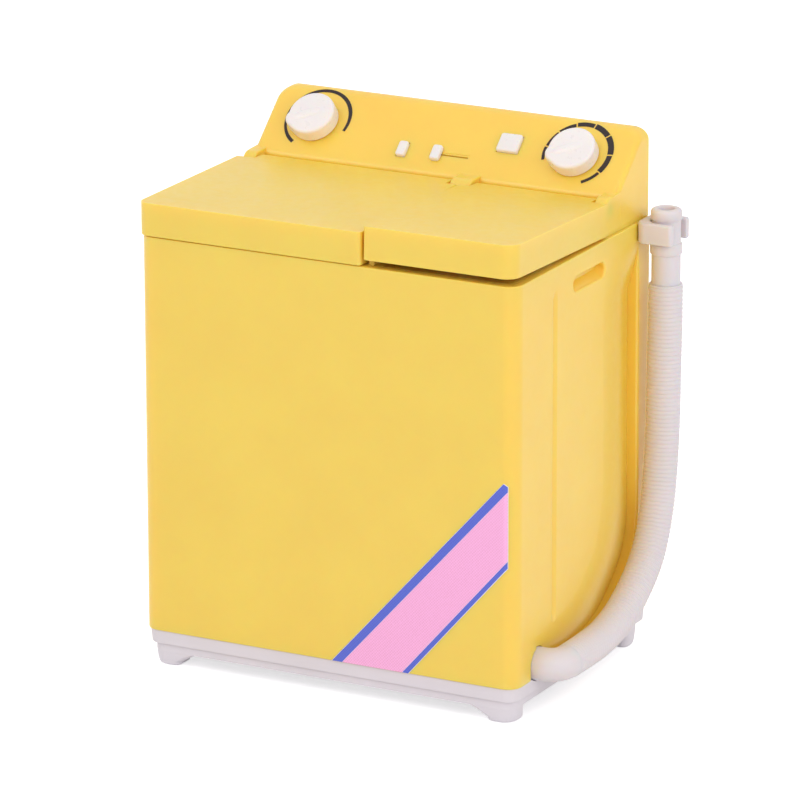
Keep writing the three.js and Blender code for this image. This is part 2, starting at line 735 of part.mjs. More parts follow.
// One lid: a rounded tray turned upside down, with a hinge barrel and a stub pin at each end behind it.
function lid([x0, x1], [tongue0, tongue1], radii) {
  const span = [x0, x1];
  const length = [-lidFrontOverhang, lidBodyLength];
  const level = (amount, z) => ring(inset(span, amount), inset(length, amount),
    radii.map((radius) => Math.max(radius - amount, fitGap)), z);
  const rings = [level(0, lidFoot)];
  for (let k = 0; k <= edgeSteps; k += 1) {
    const angle = (k / edgeSteps) * Math.PI / 2;
    rings.push(level(lidEdgeRadius * (1 - Math.cos(angle)) * (1 - overlap),
      lidTop - lidEdgeRadius * (1 - Math.sin(angle))));
  }
  const pocket = skin([level(lidWall, lidFoot - overrun), level(lidWall, lidTop - lidPlate)]);
  const tongueY = [lidBodyLength - lidWall, hingeFromFront];
  const tongue = block([tongue0, tongue1], tongueY, [lidTop - lidPlate, lidTop]);
  const barrel = rodX(lidPlate, [tongue0, tongue1], hingeFromFront, hingeZ);
  const reach = swingGap + hingePinReach;
  const pins = rodX(hingePinRadius, [tongue0 - reach, tongue1 + reach], hingeFromFront, hingeZ, smallSides);
  return join(cut(skin(rings), pocket), tongue, barrel, pins);
}

const hingeBlockX = around(lidSplitX, hingeBlockWidth);
const earInner = consoleHalf - earWidth;

function washLid() {
  return lid([-washLidHalf, lidSplitLow], [-earInner + swingGap, hingeBlockX[0] - swingGap],
    [lidInnerCorner, lidInnerCorner, washLidCorner, lidInnerCorner]);
}

function spinLid() {
  return lid([lidSplitHigh, lidHalf], [hingeBlockX[1] + swingGap, earInner - swingGap],
    [lidInnerCorner, lidInnerCorner, lidInnerCorner, spinLidCorner])
    .translate(0, -hingeFromFront, -hingeZ);
}

// Console

const faceMatrix = new THREE.Matrix4().makeRotationX(faceTilt)
  .setPosition(0, consoleFootFromFront, cabinetTop + consoleFootHeight);

// Cuts that go square through the console's sloping face.
function faceHole([x0, x1], [up0, up1]) {
  return block([x0, x1], [up0, up1], [-consoleWall - overrun, overrun]).applyMatrix4(faceMatrix);
}

function faceBore(x, up) {
  return rodZ(stemRadius + runningGap, x, up, [-consoleWall - overrun, overrun]).applyMatrix4(faceMatrix);
}

// A hinge lug seen from its side, round in front so that the lid's rear edge swings past it.
function lugOutline() {
  const radius = hingeFromFront - lidBodyLength - lugGap;
  const shape = new THREE.Shape();
  shape.moveTo(hingeWellBack + overlap, cabinetTop);
  shape.lineTo(hingeFromFront - radius, cabinetTop);
  shape.absarc(hingeFromFront, hingeZ, radius, Math.PI, Math.PI / 2, true);
  shape.lineTo(hingeWellBack + overlap, hingeZ + radius);
  return shape;
}

// The console's section across its face, with round shoulders.
function faceSection() {
  const radius = consoleSideRadius;
  const shape = new THREE.Shape();
  shape.moveTo(-consoleHalf, -cabinetHeight);
  shape.lineTo(consoleHalf, -cabinetHeight);
  shape.absarc(consoleHalf - radius, -radius, radius, 0, Math.PI / 2);
  shape.absarc(radius - consoleHalf, -radius, radius, Math.PI / 2, Math.PI);
  return alongY(shape, [-cabinetHeight, cabinetHeight]).applyMatrix4(faceMatrix);
}

const slideSlotX = [-slideKeyFromCentre - slideStemWidth / 2 - fitGap,
  -slideKeyFromCentre + slideTravel + slideStemWidth / 2 + fitGap];

function consoleShell() {
  const foot = cabinetTop + consoleFootHeight;
  const top = new THREE.Shape();
  top.moveTo(hingeWellBack, cabinetTop);
  top.lineTo(hingeWellBack, foot - consoleFootLip);
  top.lineTo(consoleFootFromFront, foot - consoleFootLip);
  const start = consoleFootRadius * Math.tan((Math.PI / 2 - faceTilt) / 2);
  top.absarc(consoleFootFromFront + consoleFootRadius, foot - start, consoleFootRadius, Math.PI,
    Math.PI / 2 + faceTilt, true);
  top.lineTo(consoleTopFromFront, consoleTop);
  const bend = cabinetDepth - consoleTopRadius;
  top.lineTo(bend, consoleTop);
  top.absarc(bend, consoleTop - consoleTopRadius, consoleTopRadius, Math.PI / 2, 0, true);
  top.lineTo(cabinetDepth, cabinetTop);
  const wedge = alongX(top, [-consoleHalf, consoleHalf]);
  const cornerRise = consoleCornerRadius * Math.sin(faceTilt);
  const front = new THREE.Shape();
  front.moveTo(-consoleHalf, cabinetTop - overrun);
  front.lineTo(consoleHalf, cabinetTop - overrun);
  const cornerX = consoleHalf - consoleCornerRadius;
  const cornerZ = consoleTop - cornerRise;
  front.absellipse(cornerX, cornerZ, consoleCornerRadius, cornerRise, 0, Math.PI / 2);
  front.absellipse(-cornerX, cornerZ, consoleCornerRadius, cornerRise, Math.PI / 2, Math.PI);
  const outer = common(common(wedge, alongY(front, [0, cabinetDepth + overrun])), faceSection());
  const slope = faceRise / faceRun;
  const innerFace = (y) => foot - consoleWall / Math.cos(faceTilt) + (y - consoleFootFromFront) * slope;
  const innerFront = hingeWellBack + consoleWall;
  const innerRear = cabinetDepth - consoleWall;
  const cavity = alongX([[innerFront, cabinetTop - overrun], [innerRear, cabinetTop - overrun],
    [innerRear, innerFace(innerRear)], [innerFront, innerFace(innerFront)]],
  inset([-consoleHalf, consoleHalf], consoleWall + consoleCornerRadius / 2));
  const lugs = [[-consoleHalf, -earInner], hingeBlockX, [earInner, consoleHalf]]
    .map((x) => alongX(lugOutline(), x));
  const tabY = innerRear - tabThickness;
  const tabTop = cabinetTop + tabDepth;
  const tabs = [-tabX, tabX].map((x) => join(
    block(around(x, tabWidth), around(tabY, tabThickness), [cabinetTop - tabDepth, tabTop]),
    block(around(x, tabWidth), [tabY, innerRear + overlap], [cabinetTop + overlap, tabTop])));
  const pinBore = hingePinRadius + runningGap;
  const reach = hingePinReach + runningGap;
  const pinHoles = [[-earInner - reach, -earInner + overrun], inset(hingeBlockX, -overrun),
    [earInner - overrun, earInner + reach]].map((x) => rodX(pinBore, x, hingeFromFront, hingeZ, smallSides));
  const push = [-pushKeyFromCentre, keyWidth + 2 * fitGap, keyUpFace, keyLength + 2 * fitGap];
  const square = [squareKeyX, squareKeyWidth + 2 * fitGap, squareKeyUpFace, squareKeyLength + 2 * fitGap];
  const keyHoles = [push, square]
    .map(([x, width, up, length]) => faceHole(around(x, width), around(up, length)));
  const slot = faceHole(slideSlotX, around(keyUpFace, slideStemLength + 2 * fitGap));
  return cut(join(cut(outer, cavity), ...lugs, ...tabs), ...pinHoles, ...keyHoles, slot,
    faceBore(washKnobX, washKnobUpFace), faceBore(spinKnobX, spinKnobUpFace));
}

// Knobs and keys, each about its own centre on the face, with z out of the face

// The outline of a knob drawn in by an amount: a large circle and the smaller circle of its nose.
function knobOutline(amount, z) {
  const centre = knobNoseReach - knobNoseRadius;
  const round = knobRadius - amount;
  const tip = knobNoseRadius - amount;
  const meet = (centre * centre + round * round - tip * tip) / (2 * centre);
  const half = Math.sqrt(round * round - meet * meet);
  const turn = THREE.MathUtils.degToRad(knobNoseAngle);
  const points = [];
  const arc = (middle, radius, from, to, steps) => {
    for (let k = 0; k <= steps; k += 1) {
      const angle = turn + from + ((to - from) * k) / steps;
      points.push(new THREE.Vector3(
        middle * Math.cos(turn) + radius * Math.cos(angle),
        middle * Math.sin(turn) + radius * Math.sin(angle), z));
    }
  };
  const tipAngle = Math.atan2(half, meet - centre);
  const roundAngle = Math.atan2(half, meet);
  const tipStep = 2 * tipAngle / (cornerSteps + 2);
  const roundStep = 2 * (Math.PI - roundAngle) / roundSides;
  arc(centre, tip, -tipAngle, tipAngle - tipStep, cornerSteps + 1);
  arc(0, round, roundAngle, Math.PI * 2 - roundAngle - roundStep, roundSides - 1);
  return points;
}

function knob() {
  const rings = [knobOutline(fitGap, fitGap), knobOutline(0, 2 * fitGap)];
  for (let k = 0; k <= edgeSteps; k += 1) {
    const angle = (k / edgeSteps) * Math.PI / 2;
    rings.push(knobOutline(fitGap + knobEdge * (1 - Math.cos(angle)) * (1 - overlap),
      fitGap + knobHeight - knobEdge * (1 - Math.sin(angle))));
  }
  const ridgeShape = new THREE.Shape();
  ridgeShape.absellipse(0, knobHeight, knobRidgeWidth / 2, knobRidgeHeight + fitGap, 0, Math.PI * 2);
  const ridge = alongX(ridgeShape, [-knobRadius, knobNoseReach])
    .rotateZ(THREE.MathUtils.degToRad(knobNoseAngle));
  const ridgeTop = knobHeight + 2 * knobRidgeHeight;
  const keep = skin([knobOutline(knobEdge, knobHeight / 2), knobOutline(knobEdge, ridgeTop)]);
  const stem = rodZ(stemRadius, 0, 0, [-consoleWall - fitGap - clipRingThickness - stemTail, 2 * fitGap]);
  return join(skin(rings), common(ridge, keep), stem);
}

// A key head with a rounded top edge, standing on z = start.
function keyHead(width, length, start, height) {
  const level = (amount, z) => ring(around(0, width - 2 * amount), around(0, length - 2 * amount),
    keyRadius, z);
  return skin([level(0, start), level(0, height - fitGap), level(fitGap, height)]);
}

function pushKey(width, length) {
  const behind = -consoleWall - fitGap;
  const head = keyHead(width, length, behind - overlap / 2, keyHeight);
  const flange = block(around(0, width + 2 * keyFlange), [keyCatchSetback - length / 2, length / 2],
    [behind - clipRingThickness, behind]);
  return join(head, flange);
}

function slideKey() {
  const behind = -consoleWall - fitGap;
  const head = keyHead(keyWidth, keyLength, fitGap, keyHeight + fitGap);
  const stem = block(around(0, slideStemWidth), around(0, slideStemLength),
    [behind - clipRingThickness / 2, 2 * fitGap]);
  const catchPlate = block(around(0, slideStemWidth + keyFlange), around(0, slideStemLength + 2 * keyFlange),
    [behind - clipRingThickness, behind]);
  return join(head, stem, catchPlate);
}

// Drain hose

const elbowEnd = elbowFromFront + elbowBend;

function hoseRoute() {
  const start = new THREE.Vector3(hoseX, elbowEnd + fitGap, elbowZ);
  const end = new THREE.Vector3(cuffX, cuffFromFront, cabinetTop - cuffDrop - fitGap);
  const straight = 2 * hoseRadius;
  const points = [start, start.clone().setY(start.y + straight / 2), start.clone().setY(start.y + straight)];
  hoseRouteShares.forEach(([depthShare, heightShare]) => points.push(new THREE.Vector3(
    THREE.MathUtils.lerp(hoseX, cuffX, heightShare), depthShare * cabinetDepth,
    baseTop + heightShare * cabinetHeight)));
  points.push(end.clone().setZ(end.z - straight), end.clone().setZ(end.z - straight / 2), end);
  return new THREE.CatmullRomCurve3(points, false, 'centripetal');
}

function drainHose() {
  const route = hoseRoute();
  const ribs = Math.round(route.getLength() / hoseRibPitch);
  const steps = ribs * 2;
  route.arcLengthDivisions = steps * 2;
  const frames = route.computeFrenetFrames(steps);
  const ringAt = (k, radius) => {
    const centre = route.getPointAt(k / steps);
    return Array.from({ length: hoseSides }, (_, i) => {
      const angle = (i / hoseSides) * Math.PI * 2;
      return centre.clone().addScaledVector(frames.normals[k], radius * Math.cos(angle))
        .addScaledVector(frames.binormals[k], radius * Math.sin(angle));
    });
  };
  const rings = [];
  const valley = hoseRadius - hoseRibDepth;
  for (let k = 0; k <= steps; k += 1) rings.push(ringAt(k, k % 2 === 0 ? hoseRadius : valley));
  for (let k = steps; k > 0; k -= 2 * ribsPerBoreRing) rings.push(ringAt(k, hoseBore));
  rings.push(ringAt(0, hoseBore));
  return skin(rings, true);
}

// The elbow's pipe: straight through the cabinet's side, then round a quarter bend.
function elbowPipe(innerX) {
  const level = (x, y, turn) => Array.from({ length: roundSides }, (_, i) => {
    const angle = (i / roundSides) * Math.PI * 2;
    const across = elbowRadius * Math.cos(angle);
    return new THREE.Vector3(x + across * Math.sin(turn), y - across * Math.cos(turn),
      elbowZ + elbowRadius * Math.sin(angle));
  });
  const rings = [level(innerX, elbowFromFront, 0)];
  for (let k = 0; k <= smallSides / 2; k += 1) {
    const turn = (k / (smallSides / 2)) * Math.PI / 2;
    rings.push(level(hoseX - elbowBend * (1 - Math.sin(turn)), elbowEnd - elbowBend * Math.cos(turn), turn));
  }
  return skin(rings);
}

function hoseElbow() {
  const innerX = halfWidth - channelDepth - 2 * cabinetWall - fitGap;
  const spigot = rodY(spigotRadius, hoseX, [elbowFromFront, elbowEnd + spigotLength], elbowZ, smallSides);
  const plateHalf = elbowRadius + elbowFlange;
  const plate = block([innerX - elbowFlangeThickness, innerX], around(elbowFromFront, 2 * plateHalf),
    [baseTop + runningGap, elbowZ + plateHalf]);
  const boreStep = pipeBore - outletBore;
  const boreX = rodX(pipeBore, [innerX - overrun, hoseX], elbowFromFront, elbowZ, smallSides);
  const boreY = rodY(outletBore, hoseX - boreStep, [elbowFromFront, elbowEnd + spigotLength + overrun],
    elbowZ, smallSides);
  return cut(join(elbowPipe(innerX - elbowFlangeThickness), spigot, plate), boreX, boreY);
}

function hoseCuff() {
  const foot = cabinetTop - cuffDrop;
  const collar = cabinetTop - collarDrop;
  const cap = cabinetTop - clipDrop + clipHeight + fitGap;
  const head = cap + capHeight;
  const collarRadius = cuffRadius + collarProud;
  const capRadius = cuffRadius + capProud;
  const bevel = capEdge * (1 - Math.SQRT1_2);
  return turned([
    [pipeBore, foot - spigotLength], [spigotRadius, foot - spigotLength], [spigotRadius, foot],
    [cuffRadius, foot], [cuffRadius, collar], [collarRadius, collar], [collarRadius, collar + collarHeight],
    [cuffRadius, collar + collarHeight], [cuffRadius, cap], [capRadius, cap],
    [capRadius, head - capEdge], [capRadius - bevel, head - bevel], [capRadius - capEdge, head],
    [capBore, head], [capBore, head - capBoreDepth],
    [pipeBore, head - capBoreDepth], [pipeBore, foot - spigotLength],
  ], cuffX, cuffFromFront);
}

function hoseClip() {
  const inner = cuffRadius + fitGap;
  const outer = inner + clipArm;
  const tip = halfWidth + clipReach;
  const [near, far] = around(cuffFromFront, 2 * outer);
  const [nearIn, farIn] = around(cuffFromFront, 2 * inner);
  const shape = new THREE.Shape();
  shape.absarc(halfWidth + clipCorner, near + clipCorner, clipCorner, Math.PI, Math.PI * 1.5);
  shape.absarc(tip - clipTipRadius, near + clipTipRadius, clipTipRadius, -Math.PI / 2, 0);
  shape.lineTo(tip, nearIn + clipLip);
  shape.lineTo(tip - clipArm, nearIn);
  shape.lineTo(cuffX, nearIn);
  shape.absarc(cuffX, cuffFromFront, inner, -Math.PI / 2, Math.PI / 2, true);
  shape.lineTo(tip - clipArm, farIn);
  shape.lineTo(tip, farIn - clipLip);
  shape.absarc(tip - clipTipRadius, far - clipTipRadius, clipTipRadius, 0, Math.PI / 2);
  shape.absarc(halfWidth + clipCorner, far - clipCorner, clipCorner, Math.PI / 2, Math.PI);
  const foot = cabinetTop - clipDrop;
  const peg = rodX(clipPegRadius, [halfWidth - clipPegLength, halfWidth + overlap], cuffFromFront,
    foot + clipPegDrop, smallSides);
  return join(alongZ(shape, [foot, foot + clipHeight]), peg);
}

// Assembly

function piece(name, geometry, material) {
  const mesh = new THREE.Mesh(geometry, material);
  geometry.computeVertexNormals();
  mesh.name = name;
  return mesh;
}

// A group that lies on the console's face, with its origin at the given place on it.
function onFace(x, up, ...pieces) {
  const group = new THREE.Group();
  group.position.set(x, up, 0);
  group.add(...pieces);
  return group;
}

const machine = new THREE.Group();
machine.add(
  piece('cabinet_shell', cabinetShell(), yellow),
  piece('rear_cover', rearCover(), yellow),
  piece('base_tray', baseTray(), paleGrey),
  piece('top_deck', topDeck(), yellow),
  piece('wash_tub', washTub(), white),
  piece('spin_well', spinWell(), white),
  piece('pulsator', pulsator(), offWhite),
  piece('pulsator_clip', stemRing(washX, washY, washTubFloor - fitGap), offWhite),
  piece('spin_basket', spinBasket(), offWhite),
  piece('basket_clip', stemRing(spinX, spinY, spinWellFloor - fitGap), offWhite),
  piece('wash_lid', washLid(), yellow),
  piece('console_shell', consoleShell(), yellow),
  piece('drain_hose', drainHose(), offWhite),
  piece('hose_elbow', hoseElbow(), offWhite),
  piece('hose_cuff', hoseCuff(), offWhite),
  piece('hose_clip', hoseClip(), offWhite),
);

const spinLidGroup = new THREE.Group();
spinLidGroup.position.set(0, hingeFromFront, hingeZ);
spinLidGroup.rotation.x = -THREE.MathUtils.degToRad(spinLidTilt);
spinLidGroup.add(piece('spin_lid', spinLid(), yellow));
machine.add(spinLidGroup);

const face = new THREE.Group();
face.position.set(0, consoleFootFromFront, cabinetTop + consoleFootHeight);
face.rotation.x = faceTilt;
const knobRingTop = -consoleWall - fitGap;
face.add(
  onFace(washKnobX, washKnobUpFace, piece('wash_knob', knob(), white),
    piece('wash_knob_clip', stemRing(0, 0, knobRingTop), offWhite)),
  onFace(spinKnobX, spinKnobUpFace, piece('spin_knob', knob(), white),
    piece('spin_knob_clip', stemRing(0, 0, knobRingTop), offWhite)),
  onFace(-pushKeyFromCentre, keyUpFace, piece('push_key', pushKey(keyWidth, keyLength), white)),
  onFace(-slideKeyFromCentre, keyUpFace, piece('slide_key', slideKey(), white)),
  onFace(squareKeyX, squareKeyUpFace, piece('square_key', pushKey(squareKeyWidth, squareKeyLength), white)),
);
machine.add(face);

// The origin is on the floor, at the middle of the whole machine's footprint.
const footprint = new THREE.Box3().setFromObject(machine);
const middle = footprint.getCenter(new THREE.Vector3());
machine.position.set(-middle.x, -middle.y, -footprint.min.z);

const part = new THREE.Group();
part.add(machine);

export default part;
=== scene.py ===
import json
import math

import bmesh
import bpy
from bpy.props import FloatProperty, FloatVectorProperty, IntProperty, PointerProperty
from bpy.types import Operator, Panel, PropertyGroup
from mathutils import Matrix, Vector


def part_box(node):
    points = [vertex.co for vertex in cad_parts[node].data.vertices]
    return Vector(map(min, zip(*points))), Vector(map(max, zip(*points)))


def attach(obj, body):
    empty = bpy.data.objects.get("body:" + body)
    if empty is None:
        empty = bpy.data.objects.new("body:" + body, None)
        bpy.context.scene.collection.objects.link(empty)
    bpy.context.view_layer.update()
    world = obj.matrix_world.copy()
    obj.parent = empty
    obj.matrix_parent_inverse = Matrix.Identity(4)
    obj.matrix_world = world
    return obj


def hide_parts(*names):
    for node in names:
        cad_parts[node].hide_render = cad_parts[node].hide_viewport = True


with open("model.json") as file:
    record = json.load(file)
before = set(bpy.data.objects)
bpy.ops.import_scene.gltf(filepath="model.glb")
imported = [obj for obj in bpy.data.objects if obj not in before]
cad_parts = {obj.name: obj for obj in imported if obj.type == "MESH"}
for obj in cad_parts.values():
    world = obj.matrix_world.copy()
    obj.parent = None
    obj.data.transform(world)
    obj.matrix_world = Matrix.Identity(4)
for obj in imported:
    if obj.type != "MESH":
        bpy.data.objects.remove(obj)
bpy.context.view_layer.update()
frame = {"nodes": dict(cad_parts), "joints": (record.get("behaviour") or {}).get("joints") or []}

bl_info = {
    "name": "Toy Twin-Tub Washer",
    "version": (1, 0, 0),
    "blender": (4, 5, 0),
    "location": "View3D > Sidebar > Toy Washer",
    "description": "Builds the outer pieces and finishes of a toy twin-tub washing machine",
    "category": "Object",
}

JOINTS = {joint["name"]: joint for joint in frame["joints"]}

# Pieces are modelled in millimetres, from the cabinet's front plane, its middle and the floor.
MM = 0.001
CABINET_LOW, CABINET_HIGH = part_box("cabinet_shell")
START = Vector(((CABINET_LOW.x + CABINET_HIGH.x) / 2, CABINET_LOW.y, 0.0))


def spot(corner):
    """A corner of the frame, as millimetres from the start of the pieces' own places."""
    return (Vector(corner) - START) / MM


def node_box(node):
    low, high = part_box(node)
    return spot(low), spot(high)


CABINET = node_box("cabinet_shell")
HALF = CABINET[1].x
DEPTH = CABINET[1].y
BASE_TOP = CABINET[0].z
CABINET_TOP = CABINET[1].z
LID_FOOT = node_box("wash_lid")[0].z
LID_TOP = node_box("wash_lid")[1].z
HINGE = spot(JOINTS["wash_lid_hinge"]["pos_m"])
WASH_KNOB = spot(JOINTS["wash_knob_turn"]["pos_m"])
SPIN_KNOB = spot(JOINTS["spin_knob_turn"]["pos_m"])
PULSATOR = spot(JOINTS["pulsator_spin"]["pos_m"])
BASKET = spot(JOINTS["basket_spin"]["pos_m"])
FACE_NORMAL = -Vector(JOINTS["wash_knob_turn"]["axis"]).normalized()
FACE_UP = FACE_NORMAL.cross(Vector((1, 0, 0))).normalized()
# How far the wash knob stands up the console's face.
WASH_KNOB_UP = 6.2
FACE_FOOT = WASH_KNOB - WASH_KNOB_UP * FACE_UP - Vector((WASH_KNOB.x, 0, 0))
FACE = Matrix((
    (1, FACE_UP.x, FACE_NORMAL.x, FACE_FOOT.x),
    (0, FACE_UP.y, FACE_NORMAL.y, FACE_FOOT.y),
    (0, FACE_UP.z, FACE_NORMAL.z, FACE_FOOT.z),
    (0, 0, 0, 1),
))

# The hose channel's two edges, each point as [from the front, above the base].
CHANNEL_FRONT = [
    (26.3, 56), (26.4, 41), (26.6, 29), (26.4, 21), (24.9, 16),
    (21.6, 11.9), (17.2, 9), (12.3, 7.7), (7.6, 7.3), (4.3, 6.3),
]
CHANNEL_REAR = [
    (38.6, 56), (38.7, 41), (38.8, 30), (39, 20), (38.9, 14),
    (37.2, 9.4), (33.4, 5.9), (27.6, 3), (19, 1.9), (8.6, 2.9),
]
# The hose's route between its straight ends, as shares of the cabinet's depth and height.
HOSE_SHARES = [
    (0.486, 0.038), (0.593, 0.056), (0.663, 0.078), (0.721, 0.103), (0.779, 0.134), (0.829, 0.171),
    (0.868, 0.218), (0.893, 0.266), (0.914, 0.324), (0.93, 0.409), (0.94, 0.511), (0.943, 0.647),
]
HOSE_AXIS = Vector((HALF + 3.2, 7.45, BASE_TOP + 1.95))
ELBOW_BEND = 2.5
ELBOW_RADIUS = 2.4
# The clearance between pieces, and how far a cutter runs past what it cuts.
FIT = 0.15
OVERRUN = 1
# Where the lids' trays end behind, where the two lids part, their gap there, and their stub pins' radius.
LID_REAR = DEPTH - 14.2
LID_SPLIT = 6
LID_GAP = 0.35
PIN_RADIUS = 0.65


def length(name, text, value):
    """A length that a user can change, given in millimetres."""
    return FloatProperty(name=name, description=text, default=value * MM, min=0.0, precision=5,
                         subtype="DISTANCE", unit="LENGTH")


def colour(name, text, value):
    return FloatVectorProperty(name=name, description=text, default=value, size=3, min=0.0, max=1.0,
                               subtype="COLOR")


class WasherBodySettings(PropertyGroup):
    """Sizes of the cabinet, its base and its lids."""
    front_radius: length("Front corner radius", "Rounding of the cabinet's two front corners", 2.2)
    rear_radius: length("Rear corner radius", "Rounding of the cabinet's two rear corners", 1.0)
    edge: length("Edge rounding", "Small rounding of moulded edges", 0.16)
    channel_depth: length("Hose channel depth", "How far the hose channel is sunk into the side", 1.7)
    groove_width: length("Groove width", "Width of the upright groove in each side", 1.9)
    groove_depth: length("Groove depth", "Depth of the upright groove in each side", 0.35)
    hold_depth: length("Hand hold depth", "Depth of the hand hold in each side", 1.5)
    lid_edge: length("Lid edge radius", "Rounding of the lids' top edges", 0.8)
    wash_corner: length("Wash lid corner", "Rounding of the wash lid's outer front corner", 1.6)
    spin_corner: length("Spin lid corner", "Rounding of the spin lid's outer front corner", 2.2)
    lid_plate: length("Lid thickness", "Thickness of the lids' top", 1.3)
    foot_flare: length("Foot flare", "How far each foot spreads where it meets the base", 3.4)


class WasherPanelSettings(PropertyGroup):
    """Sizes of the console and what is on it."""
    corner_radius: length("Console corner radius", "Rounding of the console's top corners", 2.8)
    side_radius: length("Console side radius", "Rounding of the console's side edges", 0.85)
    foot_radius: length("Console foot radius", "Rounding of the console's lower front edge", 1.1)
    knob_radius: length("Knob radius", "Radius of the knobs' round part", 3.55)
    knob_height: length("Knob height", "How far the knobs stand out of the console", 2.27)
    knob_edge: length("Knob edge", "Rounding of the knobs' top edge", 0.6)
    ridge_height: length("Ridge height", "Height of the grip ridge on the knobs", 0.2)
    key_edge: length("Key edge", "Rounding of the keys", 0.4)
    dial_radius: length("Dial radius", "Radius of the mark round the wash knob", 5.0)
    print_thickness: length("Print thickness", "Thickness of the printed marks", 0.02)


class WasherHoseSettings(PropertyGroup):
    """Sizes of the drain hose and its fittings."""
    hose_radius: length("Hose radius", "Radius of the hose at the top of its ribs", 2.5)
    rib_depth: length("Rib depth", "Depth of the grooves between the ribs", 0.14)
    rib_pitch: length("Rib pitch", "Distance from rib to rib", 0.63)
    sides: IntProperty(name="Hose sides", description="Number of sides round the hose", default=24,
                       min=8, max=64)
    fitting_edge: length("Fitting edge", "Rounding of the hose fittings' edges", 0.3)


class WasherFinishSettings(PropertyGroup):
    """Colours of the plastics and prints."""
    cabinet_colour: colour("Cabinet", "Yellow of the cabinet, lids and console", (1.0, 0.635, 0.08))
    base_colour: colour("Base", "Grey of the base tray", (0.745, 0.7, 0.75))
    knob_colour: colour("Knobs and keys", "White of the knobs and keys", (0.88, 0.825, 0.825))
    hose_colour: colour("Hose", "Off-white of the hose and its fittings", (0.747, 0.693, 0.72))
    tub_colour: colour("Tubs", "White of the tubs", (0.86, 0.85, 0.84))
    mark_colour: colour("Dial marks", "Near black of the printed dial marks", (0.03, 0.02, 0.02))
    band_colour: colour("Band", "Pink of the printed band", (0.883, 0.391, 0.651))
    stripe_colour: colour("Stripes", "Blue of the band's edge stripes", (0.1, 0.14, 0.6))


# Shapes

def of_kind(items, kind):
    """The vertices, edges or faces among what an operator gave back."""
    return [item for item in items if isinstance(item, kind)]


def outlined(points, heights):
    """An upright prism over an outline of (x, y) points."""
    bm = bmesh.new()
    corners = [bm.verts.new((x, y, heights[0])) for x, y in points]
    base = bm.faces.new(corners)
    grown = bmesh.ops.extrude_face_region(bm, geom=[base])["geom"]
    tops = of_kind(grown, bmesh.types.BMVert)
    bmesh.ops.translate(bm, vec=(0, 0, heights[1] - heights[0]), verts=tops)
    bmesh.ops.recalc_face_normals(bm, faces=bm.faces)
    return bm


def block(low, high):
    """A plain block between two corners, as a bmesh."""
    bm = bmesh.new()
    add_block(bm, low, high)
    return bm


def add_block(bm, low, high):
    low, high = Vector(low), Vector(high)
    place = Matrix.Translation((low + high) / 2) @ Matrix.Diagonal((*(high - low), 1))
    bmesh.ops.create_cube(bm, size=1, matrix=place)


def add_rod(bm, radius, start, end, sides=32):
    """A closed rod from start to end."""
    start, end = Vector(start), Vector(end)
    turn = Vector((0, 0, 1)).rotation_difference(end - start).to_matrix().to_4x4()
    place = Matrix.Translation((start + end) / 2) @ turn
    bmesh.ops.create_cone(bm, cap_ends=True, cap_tris=False, segments=sides, radius1=radius,
                          radius2=radius, depth=(end - start).length, matrix=place)


def rod(radius, start, end, sides=32):
    """A closed rod as a bmesh of its own."""
    bm = bmesh.new()
    add_rod(bm, radius, start, end, sides)
    return bm


def drawn_out(bm, faces):
    """Extrudes faces in place of the old ones, and gives the new vertices and faces."""
    grown = bmesh.ops.extrude_face_region(bm, geom=faces)["geom"]
    bmesh.ops.delete(bm, geom=faces, context="FACES_ONLY")
    return of_kind(grown, bmesh.types.BMVert), of_kind(grown, bmesh.types.BMFace)


def rim_edges(bm, *heights):
    """The edges that lie level at each of the heights, in turn."""
    return [edge for height in heights for edge in edges_where(bm, lambda co: near(co.z, height))]


def edges_where(bm, test):
    """The edges whose two ends both pass a test."""
    return [edge for edge in bm.edges if all(test(vert.co) for vert in edge.verts)]


def round_edges(bm, edges, radius, segments):
    bmesh.ops.bevel(bm, geom=edges, offset=radius, offset_type="OFFSET", segments=segments, profile=0.5,
                    affect="EDGES", clamp_overlap=True, material=-1)


def round_upright(bm, low, high, radii, segments=8):
    """Rounds a block's upright edges; radii are for front left, front right, rear right and rear left."""
    places = [(low[0], low[1]), (high[0], low[1]), (high[0], high[1]), (low[0], high[1])]
    for (x, y), radius in zip(places, radii):
        edges = edges_where(bm, lambda co: abs(co.x - x) < 1e-4 and abs(co.y - y) < 1e-4)
        if radius > 0 and edges:
            round_edges(bm, edges, radius, segments)


def near(value, target, gap=1e-3):
    return abs(value - target) < gap


def moved(bm, matrix):
    bmesh.ops.transform(bm, matrix=matrix, verts=bm.verts)
    return bm


def revolved(profile, centre, steps=48):
    """A closed ring turned about an upright axis, from a closed profile of (radius, height) points."""
    bm = bmesh.new()
    verts = [bm.verts.new((radius, 0, height)) for radius, height in profile]
    edges = [bm.edges.new(pair) for pair in zip(verts, verts[1:] + verts[:1])]
    bmesh.ops.spin(bm, geom=verts + edges, cent=(0, 0, 0), axis=(0, 0, 1), angle=math.tau, steps=steps,
                   use_merge=True)
    bmesh.ops.remove_doubles(bm, verts=bm.verts, dist=1e-4)
    bmesh.ops.recalc_face_normals(bm, faces=bm.faces)
    return moved(bm, Matrix.Translation((centre[0], centre[1], 0)))


def arc(centre, radius, from_deg, to_deg, steps=8):
    """Points on a circle, as pairs."""
    turns = (math.radians(from_deg + (to_deg - from_deg) * k / steps) for k in range(steps + 1))
    return [(centre[0] + radius * math.cos(turn), centre[1] + radius * math.sin(turn)) for turn in turns]


def smooth(share):
    """Eases a share from 0 to 1."""
    share = min(max(share, 0.0), 1.0)
    return share * share * (3 - 2 * share)


